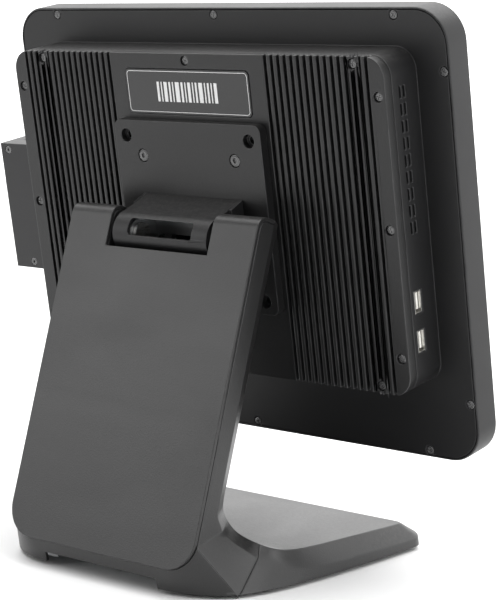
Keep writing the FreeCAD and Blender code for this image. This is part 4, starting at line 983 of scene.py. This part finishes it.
@dataclass
class StandShell:
    """Column shell and base cover: one skin over ribs, split at its seam and given a wall.

    Rails are points (half width, Y, Z) in millimetres on one side of the stand, one point per rib,
    from the cut across the column down round the knee to the front corner.
    """

    lean: float = math.radians(17.5)
    top_seam: tuple[float, float] = (35.8, 215.7)
    half: float = 76.0
    cut: float = 128.0
    behind_panel: float = 2.8
    wall: float = 2.3
    top_rise: float = 21.31
    top_slope: float = 0.0602
    steps: int = 4
    crease: tuple[int, int] = (4, 7)
    shoulder: float = 56.0
    heel: tuple[float, float, float] = (47.0, 34.5, 58.0)
    heel_turn: float = math.radians(48.8)
    low: float = 2.2
    deep: float = 28.0
    side_face: float = 15.0
    knee_middle: tuple[float, float] = (34.4, 47.4)
    knee_radius: float = 24.0
    corner_start: float = 191.7
    corner_level: float = 188.0
    seam_point: tuple[float, float, float] = (0.0, 0.0545, 0.0205)
    seam_normal: tuple[float, float, float] = (0.0, 0.743, 0.669)
    arch_half: float = 46.0
    arch_top: float = 8.6
    edge: float = 0.7

    def leaning(self, across: float, down: float, deep: float) -> Vector:
        """A point given down the rear panel and into the column.

        Args:
            across: half width.
            down: distance below the top seam.
            deep: distance in from the rear face.

        Returns:
            The point (half width, Y, Z), in millimetres.
        """
        sine, cosine = math.sin(self.lean), math.cos(self.lean)
        return Vector((across, self.top_seam[0] + down * sine - deep * cosine,
                       self.top_seam[1] - down * cosine - deep * sine))

    def knee(self, across: float, degrees: float) -> Vector:
        """A point on the rounding between the column's front and the base's top."""
        turn = math.radians(degrees)
        return Vector((across, self.knee_middle[0] + self.knee_radius * math.cos(turn),
                       self.knee_middle[1] - self.knee_radius * math.sin(turn)))

    def top(self, across: float, y: float) -> Vector:
        """A point on the base's sloping top."""
        return Vector((across, y, self.top_rise + self.top_slope * y))

    def rails(self) -> tuple[list[Vector], list[Vector], list[Vector]]:
        """Sets the ribs' points.

        Returns:
            The inner rail, the outer rail and the foot rail.
        """
        inner = [self.leaning(68.0, self.cut, self.deep), self.leaning(68.0, 148.0, self.deep),
                 self.knee(68.0, -17.5),
                 self.knee(68.3, 0.0), self.knee(71.0, 16.0), self.knee(75.0, 32.0), self.knee(80.5, 44.0),
                 self.knee(86.5, 54.0), self.knee(92.3, 66.0), self.knee(97.0, 78.0),
                 self.top(100.3, 33.0), self.top(101.8, 26.0), self.top(102.2, 10.0), self.top(101.3, -12.0),
                 self.top(100.3, -42.0), self.top(99.2, -70.0)]
        outer = [self.leaning(self.half, down, self.side_face) for down in (self.cut, 150.0, 165.0)]
        outer += [Vector((76.0, 72.6, 47.2)), Vector((76.0, 68.5, 37.3)),
                 Vector((81.3, 65.0, 31.2)), Vector((86.0, 60.4, 26.3)), Vector((90.6, 55.0, 21.7)),
                 Vector((95.2, 46.5, 17.2)), Vector((98.4, 37.5, 13.8)), Vector((100.9, 29.5, 12.2)),
                 Vector((102.8, 21.5, 11.2)), Vector((105.0, 7.0, 10.4)), Vector((106.6, -13.0, 9.6)),
                 Vector((107.8, -43.0, 8.3)), Vector((108.6, -74.0, 7.3))]
        start = self.leaning(self.half, self.corner_start, self.behind_panel)
        end = Vector((self.heel[0] + self.heel[2] * math.sin(self.heel_turn),
                      self.heel[1] + self.heel[2] * math.cos(self.heel_turn), self.low))
        foot = [self.leaning(self.half, down, self.behind_panel) for down in (self.cut, 152.0, 168.0, 180.0)]
        foot += [start.lerp(end, share) for share in (0.0, 0.3, 0.65, 1.0)]
        foot += [Vector((across, y, self.low)) for across, y in (
            (96.4, 59.5), (100.2, 46.5), (102.6, 34.5), (104.0, 23.0), (105.8, 8.0), (107.2, -13.0),
            (108.6, -43.0), (109.4, -74.0))]
        return inner, outer, foot

    def flow(self, points: list[Vector], corners: tuple[int, ...]) -> list[Vector]:
        """Runs a smooth curve through a rail's points.

        Args:
            points: the rail.
            corners: which of its points are sharp.

        Returns:
            The finer rail, with the same number of steps between any two ribs.
        """
        stops = [0, *corners, len(points) - 1]
        fine = [points[0]]
        for first, last in zip(stops, stops[1:]):
            run = points[first:last + 1]
            for index in range(len(run) - 1):
                a, b = run[index], run[index + 1]
                before = run[index - 1] if index else a * 2 - b
                after = run[index + 2] if index + 2 < len(run) else b * 2 - a
                for step in range(1, self.steps + 1):
                    t = step / self.steps
                    bend = (2 * before - 5 * a + 4 * b - after) * t ** 2
                    twist = (3 * a - before - 3 * b + after) * t ** 3
                    fine.append(0.5 * ((2 * a) + (b - before) * t + bend + twist))
        return fine

    def corner(self, radius: float, centre: tuple[float, float],
               heights: tuple[float, float]) -> list[Vector]:
        """Points round a front corner, from its side to its front.

        Args:
            radius: the corner's radius.
            centre: its middle, (half width, Y).
            heights: its height at the side and at the front.

        Returns:
            The points.
        """
        turns = [index / 6 for index in range(7)]
        return [Vector((centre[0] + radius * math.cos(turn * math.pi / 2),
                        centre[1] - radius * math.sin(turn * math.pi / 2),
                        heights[0] + (heights[1] - heights[0]) * turn)) for turn in turns]

    @staticmethod
    def woven(name: str, rows: list[list[Vector]]) -> Piece:
        """A grid whose crossings are set to given points.

        Args:
            name: the piece's name.
            rows: rows of points in millimetres, all of one length.

        Returns:
            The piece.
        """
        clear_selection()
        bpy.ops.mesh.primitive_grid_add(x_subdivisions=len(rows[0]) - 1,
                                        y_subdivisions=len(rows) - 1, size=1.0)
        piece = bpy.context.object
        piece.name = name
        for vertex, point in zip(piece.data.vertices, (point for row in rows for point in row)):
            vertex.co = point * MM
        piece.data.update()
        return piece

    @staticmethod
    def spread(first: Vector, last: Vector, count: int) -> list[Vector]:
        """Evenly spaced points after the first, up to and with the last."""
        return [first.lerp(last, step / count) for step in range(1, count + 1)]

    @staticmethod
    def mirrored(point: Vector) -> Vector:
        """The same point on the other side."""
        return Vector((-point.x, point.y, point.z))

    def section(self, inner: Vector, outer: Vector, foot: Vector) -> list[Vector]:
        """One row of points across the stand, from foot to foot.

        Args:
            inner: the rib's point on the inner rail.
            outer: its point on the outer rail.
            foot: its point on the foot rail.

        Returns:
            The row.
        """
        half = [foot] + self.spread(foot, outer, 4) + self.spread(outer, inner, 2)
        over = self.spread(half[-1], self.mirrored(half[-1]), 8)
        return half + over + [self.mirrored(point) for point in reversed(half[:-1])]

    def skin(self) -> Piece:
        """The whole outer skin, open at the top, behind the panel and underneath.

        Returns:
            The skin.
        """
        inner, outer, foot = self.rails()
        inner, outer = self.flow(inner, ()), self.flow(outer, (4,))
        foot = self.flow(foot, self.crease)
        inner += self.corner(6.5, (92.6, -75.5), (inner[-1].z - 0.3, self.top(0, -82.0).z))
        outer += self.corner(12.0, (96.7, -80.5), (7.2, 9.7))
        foot += self.corner(12.5, (97.0, -80.5), (self.low, self.low))
        body = self.woven("stand_skin", [self.section(*rib) for rib in zip(inner, outer, foot)])

        front = [foot[-1]] + self.spread(foot[-1], outer[-1], 4) + self.spread(outer[-1], inner[-1], 2)
        nose_rows = [[point] + self.spread(point, self.mirrored(point), 8) for point in front]
        nose = self.woven("stand_front", nose_rows)

        first, last = (index * self.steps for index in self.crease)
        rim, heel = self.rear_curves()
        rows = []
        for point in foot[first:last + 1]:
            share = (point - foot[first]).length / (foot[last] - foot[first]).length
            half = [high.lerp(low, share) for high, low in zip(rim, heel)]
            rows.append(half + [self.mirrored(point) for point in reversed(half[:-1])])
        skin = join("stand_skin", [body, nose, self.woven("stand_heel", rows)])
        with editing(skin):
            bpy.ops.mesh.select_all(action="SELECT")
            bpy.ops.mesh.remove_doubles(threshold=0.02 * MM)
            bpy.ops.mesh.select_all(action="SELECT")
            bpy.ops.mesh.normals_make_consistent(inside=False)
        return skin

    def rear_curves(self) -> tuple[list[Vector], list[Vector]]:
        """The line under the rear panel's lower edge, and the heel's line on the counter below it.

        Returns:
            Both lines, from the crease to the middle.
        """
        radius, level = self.half - self.shoulder, self.corner_level
        begin = math.asin((self.corner_start - level) / radius)
        turns = [begin + (math.pi / 2 - begin) * step / 8 for step in range(9)]
        rim = [self.leaning(self.shoulder + radius * math.cos(turn), level + radius * math.sin(turn),
                            self.behind_panel) for turn in turns]
        heel = [Vector((self.heel[0] + self.heel[2] * math.sin(self.heel_turn * (1 - step / 8)),
                        self.heel[1] + self.heel[2] * math.cos(self.heel_turn * (1 - step / 8)), self.low))
                for step in range(9)]
        for line in (rim, heel):
            line += self.spread(line[-1], Vector((0.0, line[-1].y, line[-1].z)), 4)
        return rim, heel

    def half_of(self, skin: Piece, name: str, keep_front: bool) -> Piece:
        """One side of the seam, with its wall.

        Args:
            skin: the whole skin.
            name: the piece's name.
            keep_front: True for the base cover, False for the column.

        Returns:
            The walled piece.
        """
        piece = bpy.data.objects.new(name, skin.data.copy())
        bpy.context.scene.collection.objects.link(piece)
        mark_faces(piece, lambda centre, normal: True)
        with editing(piece):
            bpy.ops.mesh.select_all(action="SELECT")
            bpy.ops.mesh.bisect(plane_co=self.seam_point, plane_no=self.seam_normal,
                                clear_outer=keep_front, clear_inner=not keep_front)
        modify(piece, "SOLIDIFY", thickness=self.wall * MM, offset=-1.0, use_even_offset=True)
        for vertex in piece.data.vertices:
            vertex.co.z = max(vertex.co.z, self.low * MM)
        return piece

    def upper_column(self) -> Piece:
        """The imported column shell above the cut, with its facets merged.

        Returns:
            The piece.
        """
        piece = worked_copy("column_shell", 0.0)
        mark_faces(piece, lambda centre, normal: True)
        level = self.leaning(0.0, self.cut, 0.0) * MM
        with editing(piece):
            bpy.ops.mesh.select_all(action="SELECT")
            bpy.ops.mesh.bisect(plane_co=level, plane_no=(0, -math.sin(self.lean), math.cos(self.lean)),
                                clear_inner=True)
        return piece

    def build(self, shop: Shop) -> None:
        """Makes the column shell and the base cover.

        Args:
            shop: the finishes.
        """
        skin = self.skin()
        base = self.half_of(skin, "base_cover_finished", True)
        lower = self.half_of(skin, "column_lower", False)
        bpy.data.objects.remove(skin)
        carve(lower, block("arch", Vector((-self.arch_half, 60.0, -1.0)) * MM,
                           Vector((self.arch_half, 110.0, self.arch_top)) * MM), "FAST")
        level = self.leaning(0.0, self.cut, 0.0) * MM
        axis = Vector((0.0, -math.sin(self.lean), math.cos(self.lean)))
        mark_faces(lower, lambda centre, normal: abs((centre - level).dot(axis)) < 0.1 * MM)
        with editing(lower):
            bpy.ops.mesh.delete(type="FACE")
        column = join("column_shell_finished", [self.upper_column(), lower])
        for piece, node in ((column, "column_shell"), (base, "base_cover")):
            soften(piece, self.edge * MM, 2, 24.0)
            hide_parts(node)
            shop.dress(piece, "stand_shell")
            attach(piece, "stand")
            log.info("%s: %d faces", piece.name, len(piece.data.polygons))


def main() -> None:
    """Builds the terminal piece by piece."""
    logging.basicConfig(level=logging.INFO, format="%(name)s: %(message)s")
    shop = Shop()
    shop.dress_packed()
    Studio().build()
    FinishedParts("head", {
        "front_frame": 0.9, "rear_cover": 0.7, "heatsink_cover": 0.8, "mounting_plate": 0.6,
        "arm_cover": 0.5, "arm_underside": 0.4, "reader_rear_housing": 0.4,
        "reader_inner_cheek": 0.4, "reader_outer_cheek": 0.4,
        "label_plate": 0.12, "touch_glass": 0.25, "usb_shells": 0.08, "port_plate": 0.1,
    }).build(shop)
    FinishedParts("stand", {
        "column_rear_panel": 0.6, "ballast_plate": 0.3, "rubber_feet": 0.3,
    }).build(shop)
    StandShell().build(shop)
    FinishedParts("power_button", {"power_button": 0.2}).build(shop)
    FinishedParts("reader_head", {"reader_head": 0.15}).build(shop)
    ScrewSet("heatsink_screws", HEAD.out, "head", 1.0 * MM).build(shop)
    ScrewSet("mounting_screws", HEAD.out, "head", 1.6 * MM, Recess.HEX).build(shop)
    ScrewSet("rear_cover_screws", HEAD.out, "head", 0.9 * MM).build(shop)
    ScrewSet("base_screws", Vector((0, 0, -1)), "stand", 1.2 * MM).build(shop)
    NamePlate().build(shop)


if __name__ == "__main__":
    main()
